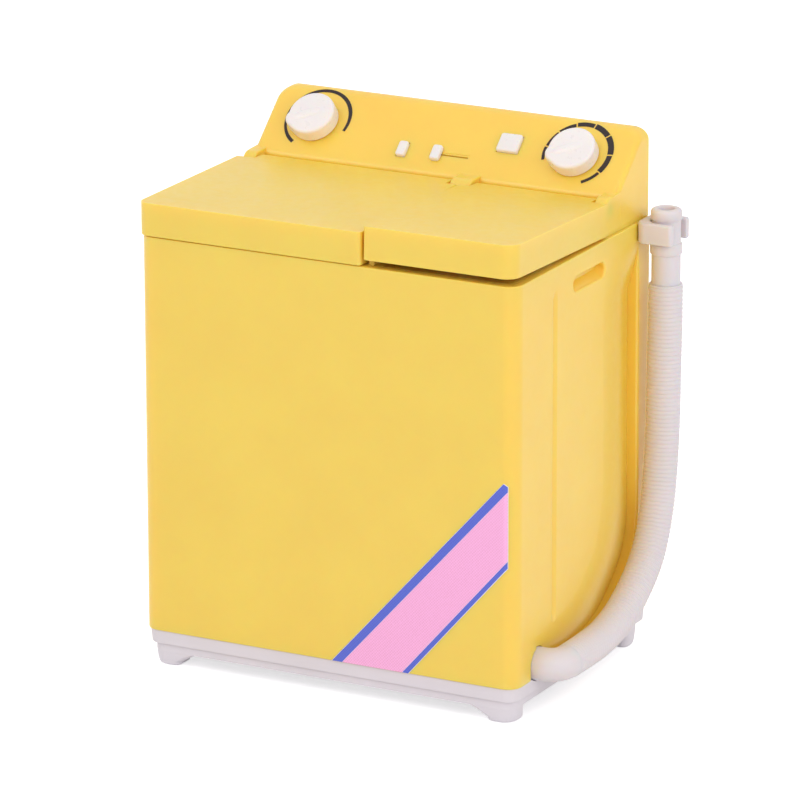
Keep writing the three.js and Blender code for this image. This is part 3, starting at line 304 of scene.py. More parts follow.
def swept(places, radii, sides):
    """A closed round tube along a row of places, with a radius at each."""
    bm = bmesh.new()
    ring = bmesh.ops.create_circle(bm, cap_ends=False, radius=1.0, segments=sides)["verts"]
    edges = bm.edges[:]
    turn = Vector((0, 0, 1)).rotation_difference(places[1] - places[0])
    before = Matrix.Identity(4)
    for k, (place, radius) in enumerate(zip(places, radii)):
        ahead = places[min(k + 1, len(places) - 1)] - places[max(k - 1, 0)]
        turn = turn.to_matrix().col[2].rotation_difference(ahead) @ turn
        size = Matrix.Diagonal((radius, radius, radius, 1))
        now = Matrix.Translation(place) @ turn.to_matrix().to_4x4() @ size
        if k:
            grown = bmesh.ops.extrude_edge_only(bm, edges=edges)["geom"]
            ring = of_kind(grown, bmesh.types.BMVert)
            kept = set(ring)
            edges = [edge for edge in of_kind(grown, bmesh.types.BMEdge)
                     if all(vert in kept for vert in edge.verts)]
        bmesh.ops.transform(bm, matrix=now @ before.inverted(), verts=ring)
        before = now
    bmesh.ops.holes_fill(bm, edges=[edge for edge in bm.edges if edge.is_boundary], sides=0)
    bmesh.ops.recalc_face_normals(bm, faces=bm.faces)
    return bm


def curve_at(points, share):
    """The place on a smooth curve through points, where share runs from 0 to 1."""
    along = share * (len(points) - 1)
    k = min(int(along), len(points) - 2)
    first = points[k - 1] if k else points[0] * 2 - points[1]
    last = points[k + 2] if k + 2 < len(points) else points[-1] * 2 - points[-2]
    quad = [first, points[k], points[k + 1], last]
    knots = [0.0]
    for a, b in zip(quad, quad[1:]):
        knots.append(knots[-1] + max((b - a).length, 1e-6) ** 0.5)
    at = knots[1] + (knots[2] - knots[1]) * (along - k)

    def blend(row, span):
        return [a + (b - a) * ((at - knots[i]) / (knots[i + span] - knots[i]))
                for i, (a, b) in enumerate(zip(row, row[1:]))]

    low, high = blend(blend(quad, 1), 2)
    return low + (high - low) * ((at - knots[1]) / (knots[2] - knots[1]))


# From a bmesh to a finished piece

def scratch(bm):
    mesh = bpy.data.meshes.new("scratch")
    bm.to_mesh(mesh)
    bm.free()
    obj = bpy.data.objects.new("scratch", mesh)
    bpy.context.scene.collection.objects.link(obj)
    return obj


def baked(obj, name):
    """The mesh of a scratch object with its modifiers applied; the object goes."""
    bpy.context.view_layer.update()
    graph = bpy.context.evaluated_depsgraph_get()
    mesh = bpy.data.meshes.new_from_object(obj.evaluated_get(graph), preserve_all_data_layers=True,
                                           depsgraph=graph)
    mesh.name = name
    bpy.data.objects.remove(obj)
    return mesh


def carved(bm, cutters=(), keep=(), joined=()):
    """The bmesh with the joined shapes added, the cutters taken off, and kept only inside each keep."""
    body = scratch(bm)
    tools = [(scratch(shape), "UNION") for shape in joined]
    tools += [(scratch(cutter), "DIFFERENCE") for cutter in cutters]
    tools += [(scratch(shape), "INTERSECT") for shape in keep]
    for tool, operation in tools:
        step = body.modifiers.new(operation.title(), "BOOLEAN")
        step.operation = operation
        step.solver = "EXACT"
        step.object = tool
    mesh = baked(body, "carved")
    for tool, _ in tools:
        bpy.data.objects.remove(tool)
    result = bmesh.new()
    result.from_mesh(mesh)
    bpy.data.meshes.remove(mesh)
    bmesh.ops.remove_doubles(result, verts=result.verts, dist=1e-3)
    bmesh.ops.dissolve_degenerate(result, dist=1e-3, edges=result.edges)
    return result


def join_in(bm, other):
    """Moves the faces of one bmesh into another."""
    mesh = bpy.data.meshes.new("joined")
    other.to_mesh(mesh)
    other.free()
    bm.from_mesh(mesh)
    bpy.data.meshes.remove(mesh)


def piece(name, bm, finish, body="machine", stands_for=(), edge=0.0):
    """Makes a finished object in the frame's metres, which rides on a body and stands for its CAD nodes."""
    bevel_over, sharp_over = 32, 50
    obj = scratch(bm)
    obj.data.shade_smooth()
    if edge:
        bevel = obj.modifiers.new("Edges", "BEVEL")
        bevel.width = edge
        bevel.segments = 2
        bevel.limit_method = "ANGLE"
        bevel.angle_limit = math.radians(bevel_over)
        bevel.use_clamp_overlap = True
        bevel.miter_outer = "MITER_ARC"
    mesh = baked(obj, name)
    mesh.shade_smooth()
    mesh.set_sharp_from_angle(angle=math.radians(sharp_over))
    mesh.transform(Matrix.Translation(START) @ Matrix.Scale(MM, 4))
    mesh.materials.clear()
    mesh.materials.append(finish)
    result = bpy.data.objects.new(name, mesh)
    bpy.context.scene.collection.objects.link(result)
    weights = result.modifiers.new("Weighted normals", "WEIGHTED_NORMAL")
    weights.keep_sharp = True
    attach(result, body)
    if stands_for:
        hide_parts(*stands_for)
    return result


# Finishes

def shader(name):
    material = bpy.data.materials.get(name)
    if material:
        return material, None, None
    material = bpy.data.materials.new(name)
    material.use_nodes = True
    tree = material.node_tree
    return material, tree, tree.nodes["Principled BSDF"]


def object_pattern(tree, kind, scale, **values):
    """A texture node read in object coordinates; scale is in repeats per millimetre."""
    place = tree.nodes.new("ShaderNodeTexCoord")
    node = tree.nodes.new(kind)
    node.inputs["Scale"].default_value = scale / MM
    for key, value in values.items():
        node.inputs[key].default_value = value
    tree.links.new(place.outputs["Object"], node.inputs["Vector"])
    return node


def ramp(tree, source, stops):
    node = tree.nodes.new("ShaderNodeValToRGB")
    node.color_ramp.elements[0].position, node.color_ramp.elements[0].color = stops[0]
    node.color_ramp.elements[1].position, node.color_ramp.elements[1].color = stops[1]
    for position, tint in stops[2:]:
        node.color_ramp.elements.new(position).color = tint
    tree.links.new(source, node.inputs["Fac"])
    return node


def worked_out(tree, operation, first, second):
    """A math node on a socket and a second socket or number."""
    node = tree.nodes.new("ShaderNodeMath")
    node.operation = operation
    tree.links.new(first, node.inputs[0])
    if isinstance(second, (int, float)):
        node.inputs[1].default_value = second
    else:
        tree.links.new(second, node.inputs[1])
    return node.outputs[0]


def seen_straight(tree):
    """1 on rays of the camera, of mirrors and of clear pieces, and 0 on the rays that light."""
    rays = tree.nodes.new("ShaderNodeLightPath").outputs
    seen = worked_out(tree, "MAXIMUM", rays["Is Camera Ray"], rays["Is Glossy Ray"])
    return worked_out(tree, "MAXIMUM", seen, rays["Is Transmission Ray"])


def shade(tint, factor):
    return (*(min(max(value * factor, 0.0), 1.0) for value in tint), 1.0)


def moulded_plastic(name, tint, roughness, grain, relief, specks=0.3, gloss=0.5, soft=0.0):
    """Moulded plastic: cloudy colour, fine uneven polish, a faint skin relief and a few dust specks."""
    material, tree, surface = shader(name)
    if tree is None:
        return material
    cloud = object_pattern(tree, "ShaderNodeTexNoise", 0.09, Detail=3.0, Roughness=0.55)
    body = ramp(tree, cloud.outputs["Fac"], [(0.3, shade(tint, 0.965)), (0.72, shade(tint, 1.02))])
    dust = object_pattern(tree, "ShaderNodeTexVoronoi", 0.42, Randomness=1.0)
    fleck = ramp(tree, dust.outputs["Distance"], [(0.0, (1, 1, 1, 1)), (0.04, (0, 0, 0, 1))])
    sparse = object_pattern(tree, "ShaderNodeTexNoise", 0.33, Detail=1.0)
    few = ramp(tree, sparse.outputs["Fac"], [(0.64, (0, 0, 0, 1)), (0.7, (1, 1, 1, 1))])
    both = worked_out(tree, "MULTIPLY", fleck.outputs["Color"], few.outputs["Color"])
    amount = worked_out(tree, "MULTIPLY", both, specks)
    speckled = tree.nodes.new("ShaderNodeMix")
    speckled.data_type = "RGBA"
    speckled.inputs["B"].default_value = shade(tint, 0.45)
    tree.links.new(amount, speckled.inputs["Factor"])
    tree.links.new(body.outputs["Color"], speckled.inputs["A"])
    tree.links.new(speckled.outputs["Result"], surface.inputs["Base Color"])
    polish = object_pattern(tree, "ShaderNodeTexNoise", grain, Detail=4.0, Roughness=0.6)
    low, high = roughness - 0.05, roughness + 0.07
    rough = ramp(tree, polish.outputs["Fac"], [(0.3, (low, low, low, 1)), (0.7, (high, high, high, 1))])
    tree.links.new(rough.outputs["Color"], surface.inputs["Roughness"])
    skin = object_pattern(tree, "ShaderNodeTexNoise", grain * 2.2, Detail=2.0)
    bump = tree.nodes.new("ShaderNodeBump")
    bump.inputs["Strength"].default_value = relief
    bump.inputs["Distance"].default_value = 0.02 * MM
    tree.links.new(skin.outputs["Fac"], bump.inputs["Height"])
    tree.links.new(bump.outputs["Normal"], surface.inputs["Normal"])
    surface.inputs["IOR"].default_value = 1.5
    surface.inputs["Specular IOR Level"].default_value = gloss
    if soft:
        surface.inputs["Subsurface Weight"].default_value = soft
        surface.inputs["Subsurface Radius"].default_value = (1.0, 0.4, 0.15)
        surface.inputs["Subsurface Scale"].default_value = 3.0 * MM
    return material


def printed_film(name, tint, contrast):
    """Ink on a smooth film, with the fine dot screen of a halftone print."""
    material, tree, surface = shader(name)
    if tree is None:
        return material
    place = tree.nodes.new("ShaderNodeTexCoord")
    turn = tree.nodes.new("ShaderNodeMapping")
    turn.inputs["Rotation"].default_value = (0, math.radians(45), 0)
    tree.links.new(place.outputs["Object"], turn.inputs["Vector"])
    dots = tree.nodes.new("ShaderNodeTexVoronoi")
    dots.inputs["Scale"].default_value = 3.2 / MM
    dots.inputs["Randomness"].default_value = 0.12
    tree.links.new(turn.outputs["Vector"], dots.inputs["Vector"])
    screen = ramp(tree, dots.outputs["Distance"],
                  [(0.25, shade(tint, 1.0)), (0.6, shade(tint, 1.0 + contrast))])
    tree.links.new(screen.outputs["Color"], surface.inputs["Base Color"])
    grain = object_pattern(tree, "ShaderNodeTexNoise", 1.5, Detail=2.0)
    rough = ramp(tree, grain.outputs["Fac"], [(0.3, (0.4, 0.4, 0.4, 1)), (0.7, (0.55, 0.55, 0.55, 1))])
    tree.links.new(rough.outputs["Color"], surface.inputs["Roughness"])
    surface.inputs["Specular IOR Level"].default_value = 0.3
    return material


def yellow_plastic():
    tint = tuple(bpy.context.scene.washer_finish.cabinet_colour)
    return moulded_plastic("Yellow plastic", tint, 0.34, 0.8, 0.25, gloss=0.75, soft=0.5)


def base_plastic():
    tint = tuple(bpy.context.scene.washer_finish.base_colour)
    return moulded_plastic("Pale grey plastic", tint, 0.45, 0.9, 0.3, specks=0.25)


def knob_plastic():
    tint = tuple(bpy.context.scene.washer_finish.knob_colour)
    return moulded_plastic("White knob plastic", tint, 0.3, 1.1, 0.2, specks=0.05, soft=0.2)


def hose_plastic():
    tint = tuple(bpy.context.scene.washer_finish.hose_colour)
    return moulded_plastic("Soft hose plastic", tint, 0.5, 1.3, 0.35, specks=0.15, soft=0.25)


def tub_plastic():
    tint = tuple(bpy.context.scene.washer_finish.tub_colour)
    return moulded_plastic("White tub plastic", tint, 0.32, 0.9, 0.2, specks=0.2)


# Cabinet and base

def prism_x(points, x0, x1):
    """A prism along X over an outline of (y, z) points."""
    turn = Matrix(((0, 0, 1, 0), (1, 0, 0, 0), (0, 1, 0, 0), (0, 0, 0, 1)))
    return moved(outlined(points, (x0, x1)), turn)


def closed_out(bm, x):
    """A cutter from an open sheet: its border is drawn out along X and capped."""
    grown = bmesh.ops.extrude_edge_only(bm, edges=[edge for edge in bm.edges if edge.is_boundary])["geom"]
    for vert in of_kind(grown, bmesh.types.BMVert):
        vert.co.x = x
    bmesh.ops.holes_fill(bm, edges=[edge for edge in bm.edges if edge.is_boundary], sides=0)
    bmesh.ops.recalc_face_normals(bm, faces=bm.faces)
    return bm


def channel_cutter(depth):
    """The hose channel: it starts softly in front and ends in a steep rear wall with a round rim."""
    stations, steps, rim_steps, rim = 96, 20, 7, 0.45
    front = [Vector((HALF, y, BASE_TOP + z)) for y, z in CHANNEL_FRONT]
    rear = [Vector((HALF, y, BASE_TOP + z)) for y, z in CHANNEL_REAR]
    skim = 0.01
    bm = bmesh.new()
    grid = bmesh.ops.create_grid(bm, x_segments=stations, y_segments=steps + rim_steps, size=0.5)["verts"]
    for vert in grid:
        along, row = vert.co.x + 0.5, round((vert.co.y + 0.5) * (steps + rim_steps))
        place, far = curve_at(front, along), curve_at(rear, along)
        sunk = depth * (smooth(along / 0.06) - 0.65 * smooth((along - 0.6) / 0.4))
        if row <= steps:
            vert.co = place + (far - place) * row / steps
            vert.co.x = HALF + skim - sunk * (1 - math.cos(row / steps * math.pi / 2))
        else:
            turn = (row - steps - 1) / (rim_steps - 1) * math.pi / 2
            bend = max(min(rim, sunk * 0.7), 0.02)
            vert.co = far + (far - place).normalized() * bend * (1 - math.cos(turn))
            vert.co.x = HALF + skim - bend * (1 - math.sin(turn))
    return closed_out(bm, HALF + 1.5)


def hand_hold_cutter(side, depth):
    """A long round-ended hollow with a round rim, whose lower face slopes up into the side."""
    top, tall, slope, wide, rim, steps = CABINET_TOP - 3, 2.1, 0.9, 10.0, 0.35, 6
    radius, middle = tall / 2, (22.9, top - tall / 2)
    reach = wide / 2 - radius
    outline = arc((middle[0] + reach, middle[1]), radius, -90, 90, 12)
    outline += arc((middle[0] - reach, middle[1]), radius, 90, 270, 12)
    inner, x = side * (HALF - depth), side * (HALF - rim)
    bm = prism_x(outline, *sorted((inner, x)))
    innermost = [vert for vert in bm.verts if near(vert.co.x, inner)]
    bmesh.ops.scale(bm, vec=(1, 1, 1 - slope / tall), verts=innermost,
                    space=Matrix.Translation((0, 0, -top)))
    faces = [face for face in bm.faces if all(near(vert.co.x, x) for vert in face.verts)]
    turns = [k / steps * math.pi / 2 for k in range(1, steps + 1)]
    levels = [(rim * (1 - math.cos(turn)), HALF - rim * (1 - math.sin(turn))) for turn in turns]
    levels.append((rim, HALF + OVERRUN))
    about = Matrix.Translation((0, -middle[0], -middle[1]))
    before = 0.0
    for out, level in levels:
        verts, faces = drawn_out(bm, faces)
        growth = [(size + 2 * out) / (size + 2 * before) for size in (wide, tall)]
        bmesh.ops.scale(bm, vec=(1, *growth), verts=verts, space=about)
        for vert in verts:
            vert.co.x = side * level
        before = out
    bmesh.ops.recalc_face_normals(bm, faces=bm.faces)
    return bm


def groove_cutter(side, wide, deep):
    """An upright groove of a soft section, which fades out at its ends."""
    foot, head, fade, y = BASE_TOP + 6.7, CABINET_TOP - 3.2, 1.5, 12
    skim = 0.01
    bm = bmesh.new()
    for vert in bmesh.ops.create_grid(bm, x_segments=64, y_segments=14, size=0.5)["verts"]:
        z, across = foot + (head - foot) * (vert.co.x + 0.5), vert.co.y * 2
        sunk = deep * smooth(min(z - foot, head - z) / fade) * (1 + math.cos(math.pi * across)) / 2
        vert.co = (HALF + skim - sunk, y + across * wide / 2, z)
    closed_out(bm, HALF + OVERRUN)
    if side < 0:
        bmesh.ops.scale(bm, vec=(-1, 1, 1), verts=bm.verts)
        bmesh.ops.recalc_face_normals(bm, faces=bm.faces)
    return bm


class WASHER_OT_cabinet(Operator):
    """Adds the cabinet, with its side grooves, hand holds and hose channel, and its rear cover"""
    bl_idname = "washer.cabinet"
    bl_label = "Cabinet"

    def execute(self, context):
        sizes = context.scene.washer_body
        low, high = CABINET
        bm = block(low, high)
        front, rear = sizes.front_radius / MM, sizes.rear_radius / MM
        round_upright(bm, low, high, (front, front, rear, rear))
        round_edges(bm, rim_edges(bm, low.z, high.z), sizes.edge / MM, 2)
        wall = node_box("top_deck")[0].x - low.x - FIT
        side_wall, deck_overlap, arch_depth, cover_depth, cover_edge = 2.6, 0.5, 5.5, 3, 0.3
        deck_foot = node_box("top_deck")[0].z
        room = block((low.x + side_wall, wall, low.z - OVERRUN),
                     (high.x - side_wall, high.y - wall, deck_foot))
        mouth = block((low.x + wall, wall, deck_foot - deck_overlap),
                      (high.x - wall, high.y - wall, high.z + OVERRUN))
        radius = ELBOW_RADIUS + FIT
        arch = [(HOSE_AXIS.y - radius, low.z - OVERRUN), (HOSE_AXIS.y + radius, low.z - OVERRUN)]
        arch += arc((HOSE_AXIS.y, HOSE_AXIS.z), radius, 0, 180, 24)
        arch_cut = prism_x(arch, HALF - arch_depth, HALF + OVERRUN)
        cover_low, cover_high = node_box("rear_cover")
        behind = block((cover_low.x - FIT, cover_low.y - cover_depth, cover_low.z - FIT),
                       (cover_high.x + FIT, high.y + OVERRUN, cover_high.z + FIT))
        hold, wide, deep = sizes.hold_depth / MM, sizes.groove_width / MM, sizes.groove_depth / MM
        cutters = [room, mouth, channel_cutter(sizes.channel_depth / MM), arch_cut, behind]
        for side in (1, -1):
            cutters += [hand_hold_cutter(side, hold), groove_cutter(side, wide, deep)]
        piece("cabinet", carved(bm, cutters), yellow_plastic(), stands_for=["cabinet_shell"])
        cover = block(cover_low, cover_high)
        round_edges(cover, edges_where(cover, lambda co: near(co.y, cover_high.y)), cover_edge, 3)
        piece("rear_panel", cover, yellow_plastic(), stands_for=["rear_cover"])
        return {"FINISHED"}


class WASHER_OT_base(Operator):
    """Adds the base tray with its lip, skirt and four flared feet"""
    bl_idname = "washer.base"
    bl_label = "Base"

    def execute(self, context):
        sizes = context.scene.washer_body
        edge = sizes.edge / MM
        front, rear = sizes.front_radius / MM, sizes.rear_radius / MM
        foot_top, lip_foot, top, floor_top = 2.1, BASE_TOP - 2.1, BASE_TOP, BASE_TOP - 1.2
        inset, taper, skirt_inset, wall, overlap, least_radius = 0.25, 0.15, 0.8, 1.1, 0.4, 0.2
        lip = self.slab(inset, lip_foot, top, (front - inset, max(rear - inset, least_radius)))
        under = [vert for vert in lip.verts if near(vert.co.z, lip_foot)]
        shrink = [1 - 2 * taper / (size - 2 * inset) for size in (2 * HALF, DEPTH)]
        bmesh.ops.scale(lip, vec=(*shrink, 1), verts=under, space=Matrix.Translation((0, -DEPTH / 2, 0)))
        round_edges(lip, rim_edges(lip, lip_foot, top), edge, 3)
        skirt = self.slab(skirt_inset, foot_top, lip_foot + overlap, (front, front))
        within = skirt_inset + wall
        hollow = block((within - HALF, within, foot_top - OVERRUN),
                       (HALF - within, DEPTH - within, floor_top))
        tray = carved(lip, [hollow], joined=[skirt])
        foot_inset, flare, seat_length = skirt_inset + 0.01, sizes.foot_flare / MM, 7
        feet = [self.foot(x, y, foot_inset, front, flare) for x in (-1, 1) for y in (-1, 1)]
        seat = rod(ELBOW_RADIUS + FIT, (HALF - seat_length, HOSE_AXIS.y, HOSE_AXIS.z),
                   (HALF + OVERRUN, HOSE_AXIS.y, HOSE_AXIS.z), 48)
        piece("base", carved(tray, [seat], joined=feet), base_plastic(), stands_for=["base_tray"])
        return {"FINISHED"}

    def slab(self, inset, z0, z1, radii):
        """A level slab under the cabinet, drawn in by an inset, with its front and rear corner radii."""
        low, high = (inset - HALF, inset, z0), (HALF - inset, DEPTH - inset, z1)
        bm = block(low, high)
        round_upright(bm, low, high, (radii[0], radii[0], radii[1], radii[1]))
        return bm

    def foot(self, side_x, side_y, inset, corner, flare):
        """A foot flush with the skirt, drawn in at the floor, whose inner side slopes up into the skirt."""
        size, start, rise, top, tread = 4.2, 0.5, 2.1, BASE_TOP - 1.9, 0.4
        draw_in, rounding, fixed_part, steps = 0.2, 1.1, 2.5, 10

        def lean(z):
            return inset + draw_in * (1 - min(z / rise, 1.0))

        x = side_x * (HALF - lean(0))
        y = lean(0) if side_y < 0 else DEPTH - lean(0)
        low = (min(x, x - side_x * size), min(y, y - side_y * size), 0)
        high = (low[0] + size, low[1] + size, start)
        bm = block(low, high)
        radii = [rounding] * 4
        radii[{(-1, -1): 0, (1, -1): 1, (1, 1): 2, (-1, 1): 3}[side_x, side_y]] = corner
        round_upright(bm, low, high, radii)
        round_edges(bm, edges_where(bm, lambda co: near(co.z, 0)), tread, 4)
        faces = [face for face in bm.faces if all(near(vert.co.z, start) for vert in face.verts)]
        split = x - side_x * fixed_part
        shares = [k / steps for k in range(1, steps + 1)]
        levels = [(start + (rise - start) * u, 0.85 * u + 0.15 * u ** 6) for u in shares] + [(top, 1.0)]
        z_before, spread_before = 0.0, 0.0
        for z, share in levels:
            verts, faces = drawn_out(bm, faces)
            out = lean(z_before) - lean(z)
            inner = [vert for vert in verts if (vert.co.x - split) * side_x < 0]
            bmesh.ops.translate(bm, vec=(side_x * out, side_y * out, 0), verts=verts)
            bmesh.ops.translate(bm, vec=(-side_x * flare * (share - spread_before), 0, 0), verts=inner)
            for vert in verts:
                vert.co.z = z
            z_before, spread_before = z, share
        bmesh.ops.recalc_face_normals(bm, faces=bm.faces)
        return bm


# Lids

class WASHER_OT_lids(Operator):
    """Adds the wash lid and the spin lid, with their hinges"""
    bl_idname = "washer.lids"
    bl_label = "Lids"

    def execute(self, context):
        sizes = context.scene.washer_body
        small, raised, tongue_end, lug_side = 0.6, -1.75, 27.1, 1.95
        wash_x = (node_box("wash_lid")[0].x, LID_SPLIT - LID_GAP / 2)
        spin_x = (LID_SPLIT + LID_GAP / 2, HALF - 0.3)
        wash = self.lid(sizes, wash_x, (-tongue_end, LID_SPLIT - lug_side), (sizes.wash_corner / MM, small))
        piece("lid_wash", wash, yellow_plastic(), "wash_lid", ["wash_lid"])
        spin = self.lid(sizes, spin_x, (LID_SPLIT + lug_side, tongue_end), (small, sizes.spin_corner / MM))
        turn = Matrix.Rotation(math.radians(raised), 4, "X")
        tilt = Matrix.Translation(HINGE) @ turn @ Matrix.Translation(-HINGE)
        piece("lid_spin", moved(spin, tilt), yellow_plastic(), "spin_lid", ["spin_lid"])
        return {"FINISHED"}

    def lid(self, sizes, span, tongue, radii):
        """A tray turned upside down, whose top runs on into a tongue with a hinge barrel and stub pins."""
        edge, plate, wall, low_edge = sizes.lid_edge / MM, sizes.lid_plate / MM, 1.1, sizes.edge / MM
        front, rear, pin_length, skim = -0.25, LID_REAR, 1.9, 0.01
        profile = [(front, LID_TOP), (front, LID_FOOT), (rear, LID_FOOT), (rear, HINGE.z)]
        profile += arc((HINGE.y, HINGE.z), plate, -180, 90, 27)
        bm = prism_x(profile, *span)
        round_upright(bm, (span[0], front), (span[1], rear), (*radii, 0, 0))
        tops = [side for side in rim_edges(bm, LID_TOP)
                if not all(near(vert.co.y, HINGE.y) for vert in side.verts)]
        round_edges(bm, tops, edge, 6)
        round_edges(bm, rim_edges(bm, LID_FOOT), low_edge, 2)
        low_in = (span[0] + wall, front + wall, LID_FOOT - OVERRUN)
        high_in = (span[1] - wall, rear - wall, LID_TOP - plate)
        pocket = block(low_in, high_in)
        inner_radii = [max(radius - wall, FIT) for radius in (*radii, FIT, FIT)]
        round_upright(pocket, low_in, high_in, inner_radii, 4)
        cutters = [pocket]
        for x0, x1 in ((span[0] - OVERRUN, tongue[0]), (tongue[1], span[1] + OVERRUN)):
            cutters.append(block((x0, rear + skim, HINGE.z - plate - OVERRUN / 2),
                                 (x1, HINGE.y + 2 * OVERRUN, LID_TOP + OVERRUN)))
        pins = rod(PIN_RADIUS, (tongue[0] - pin_length, HINGE.y, HINGE.z),
                   (tongue[1] + pin_length, HINGE.y, HINGE.z), 16)
        return carved(carved(bm, cutters), joined=[pins])


# Console

# The press keys: their node, width, length and place up the console's face, in millimetres.
KEYS = [("push_key", 1.5, 2.5, 3.4), ("square_key", 3.4, 3.1, 6.6)]


def middle_x(node):
    low, high = node_box(node)
    return (low.x + high.x) / 2


def face_block(x0, x1, up0, up1, deep, proud):
    """A block square to the console's face."""
    return moved(block((x0, up0, -deep), (x1, up1, proud)), FACE)


class WASHER_OT_console(Operator):
    """Adds the sloping console with its hinge lugs, key openings and slot"""
    bl_idname = "washer.console"
    bl_label = "Console"

    def execute(self, context):
        sizes = context.scene.washer_panel
        half = node_box("console_shell")[1].x
        top = CABINET_TOP + 13.1
        foot = Vector((FACE_FOOT.y, FACE_FOOT.z))
        back, top_y, foot_drop, back_edge = DEPTH - 9.1, DEPTH - 1.7, 0.95, 0.5
        tilt = math.degrees(math.atan2(FACE_UP.z, FACE_UP.y))
        bend = sizes.foot_radius / MM
        start = bend * math.tan(math.radians(90 - tilt) / 2)
        profile = [(back, CABINET_TOP), (DEPTH, CABINET_TOP), (DEPTH, top), (top_y, top)]
        profile += arc((foot.x + bend, foot.y - start), bend, 90 + tilt, 180, 6)
        profile += [(foot.x, foot.y - foot_drop), (back, foot.y - foot_drop)]
        wedge = prism_x(profile, -half, half)
        round_edges(wedge, edges_where(wedge, lambda co: near(co.z, top) and near(co.y, DEPTH)), back_edge, 3)
        across = sizes.corner_radius / MM
        rise = across * FACE_UP.z
        outline = [(-half, CABINET_TOP - OVERRUN), (half, CABINET_TOP - OVERRUN)]
        for side, turn in ((1, 0), (-1, 90)):
            outline += [(side * (half - across) + x * across, top - rise + z * rise)
                        for x, z in arc((0, 0), 1, turn, turn + 90, 12)]
        stand = Matrix(((1, 0, 0, 0), (0, 0, -1, DEPTH + OVERRUN), (0, 1, 0, 0), (0, 0, 0, 1)))
        shell = carved(wedge, keep=[moved(outlined(outline, (0, DEPTH)), stand)])
        reach, turned = 0.9, 0.45
        border = [edge for edge in shell.edges if edge.calc_face_angle(0) > turned
                  and all((vert.co - FACE_FOOT).dot(FACE_NORMAL) > -reach for vert in edge.verts)
                  and not all(vert.co.z < foot.y - reach for vert in edge.verts)]
        round_edges(shell, border, sizes.side_radius / MM, 6)
        gap, hole_depth, bore_radius, bore_depth = 0.03, 2.0, 1.08, 3.2
        holes = []
        for node, wide, tall, up in KEYS:
            x, aside, along = middle_x(node), wide / 2 + gap, tall / 2 + gap
            holes.append(face_block(x - aside, x + aside, up - along, up + along, hole_depth, OVERRUN))
        x, up = middle_x("slide_key"), KEYS[0][3]
        recess = face_block(x - 0.65, x + 5.25, up - 0.4, up + 0.4, 0.08, OVERRUN)
        slit = face_block(x - 0.4, x + 5.0, up - 0.11, up + 0.11, 2.4, OVERRUN)
        bores = [rod(bore_radius, centre - FACE_NORMAL * bore_depth, centre + FACE_NORMAL)
                 for centre in (WASH_KNOB, SPIN_KNOB)]
        skim, lug_wide, block_half, hole_start, hole_end, block_hole = 0.015, 2, 1.65, 0.3, 3, 2.6
        spans = ((skim - half, lug_wide - half), (LID_SPLIT - block_half, LID_SPLIT + block_half),
                 (half - lug_wide, half - skim))
        hole_spans = ((hole_start - half, hole_end - half), (LID_SPLIT - block_hole, LID_SPLIT + block_hole),
                      (half - hole_end, half - hole_start))
        pins = [rod(PIN_RADIUS + 0.08, (x0, HINGE.y, HINGE.z), (x1, HINGE.y, HINGE.z), 16)
                for x0, x1 in hole_spans]
        lugs = [self.lug(x0, x1, back) for x0, x1 in spans]
        body = carved(shell, [*pins, *holes, recess, slit, *bores], joined=lugs)
        piece("console", body, yellow_plastic(), stands_for=["console_shell"])
        return {"FINISHED"}

    def lug(self, x0, x1, back):
        """A hinge lug, round in front, with soft sides."""
        radius = HINGE.y - LID_REAR - 0.25
        rear, foot, soft = back + 1.4, CABINET_TOP + 0.01, 0.4
        outline = [(HINGE.y - radius, foot), (rear, foot), (rear, HINGE.z + radius)]
        outline += arc((HINGE.y, HINGE.z), radius, 90, 180, 10)
        bm = prism_x(outline, x0, x1)
        upper = edges_where(bm, lambda co: co.z > HINGE.z - 2 and co.y < rear - 0.1)
        sides = [edge for edge in upper if near(edge.verts[0].co.x, edge.verts[1].co.x)]
        round_edges(bm, sides, soft, 5)
        return bm


# Knobs and keys

def knob_shape(radius, height, edge, ridge):
    """A drop-shaped knob on its own origin, with its nose along +X and a soft grip ridge over it."""
    tip, nose, foot_edge, stem_radius, stem_depth = 1.48, 3.97, 0.12, 1.0, 2.5
    centre = nose - tip
    meet = (centre * centre + radius * radius - tip * tip) / (2 * centre)
    half = math.sqrt(radius * radius - meet * meet)
    tip_turn, round_turn = (math.degrees(math.atan2(half, reach)) for reach in (meet - centre, meet))
    tangent = math.degrees(math.acos((radius - tip) / centre))
    outline = arc((centre, 0), tip, -tip_turn, tangent, 16)
    outline += arc((0, 0), radius, tangent, 360 - round_turn, 60)[:-1]
    top = FIT + height
    bm = outlined(outline, (FIT, top))
    round_edges(bm, rim_edges(bm, top), edge, 6)
    round_edges(bm, rim_edges(bm, FIT), foot_edge, 2)
    bar = bmesh.new()
    tall, sink = ridge * 2.5, ridge * 1.5
    shape = Matrix.Translation((0.6, 0, top - sink)) @ Matrix.Diagonal((2.9, 0.95, tall, 1))
    bmesh.ops.create_uvsphere(bar, u_segments=64, v_segments=48, radius=1.0, matrix=shape)
    stem = rod(stem_radius, (0, 0, -stem_depth), (0, 0, FIT + 0.4), 24)
    return carved(bm, joined=[bar, stem])


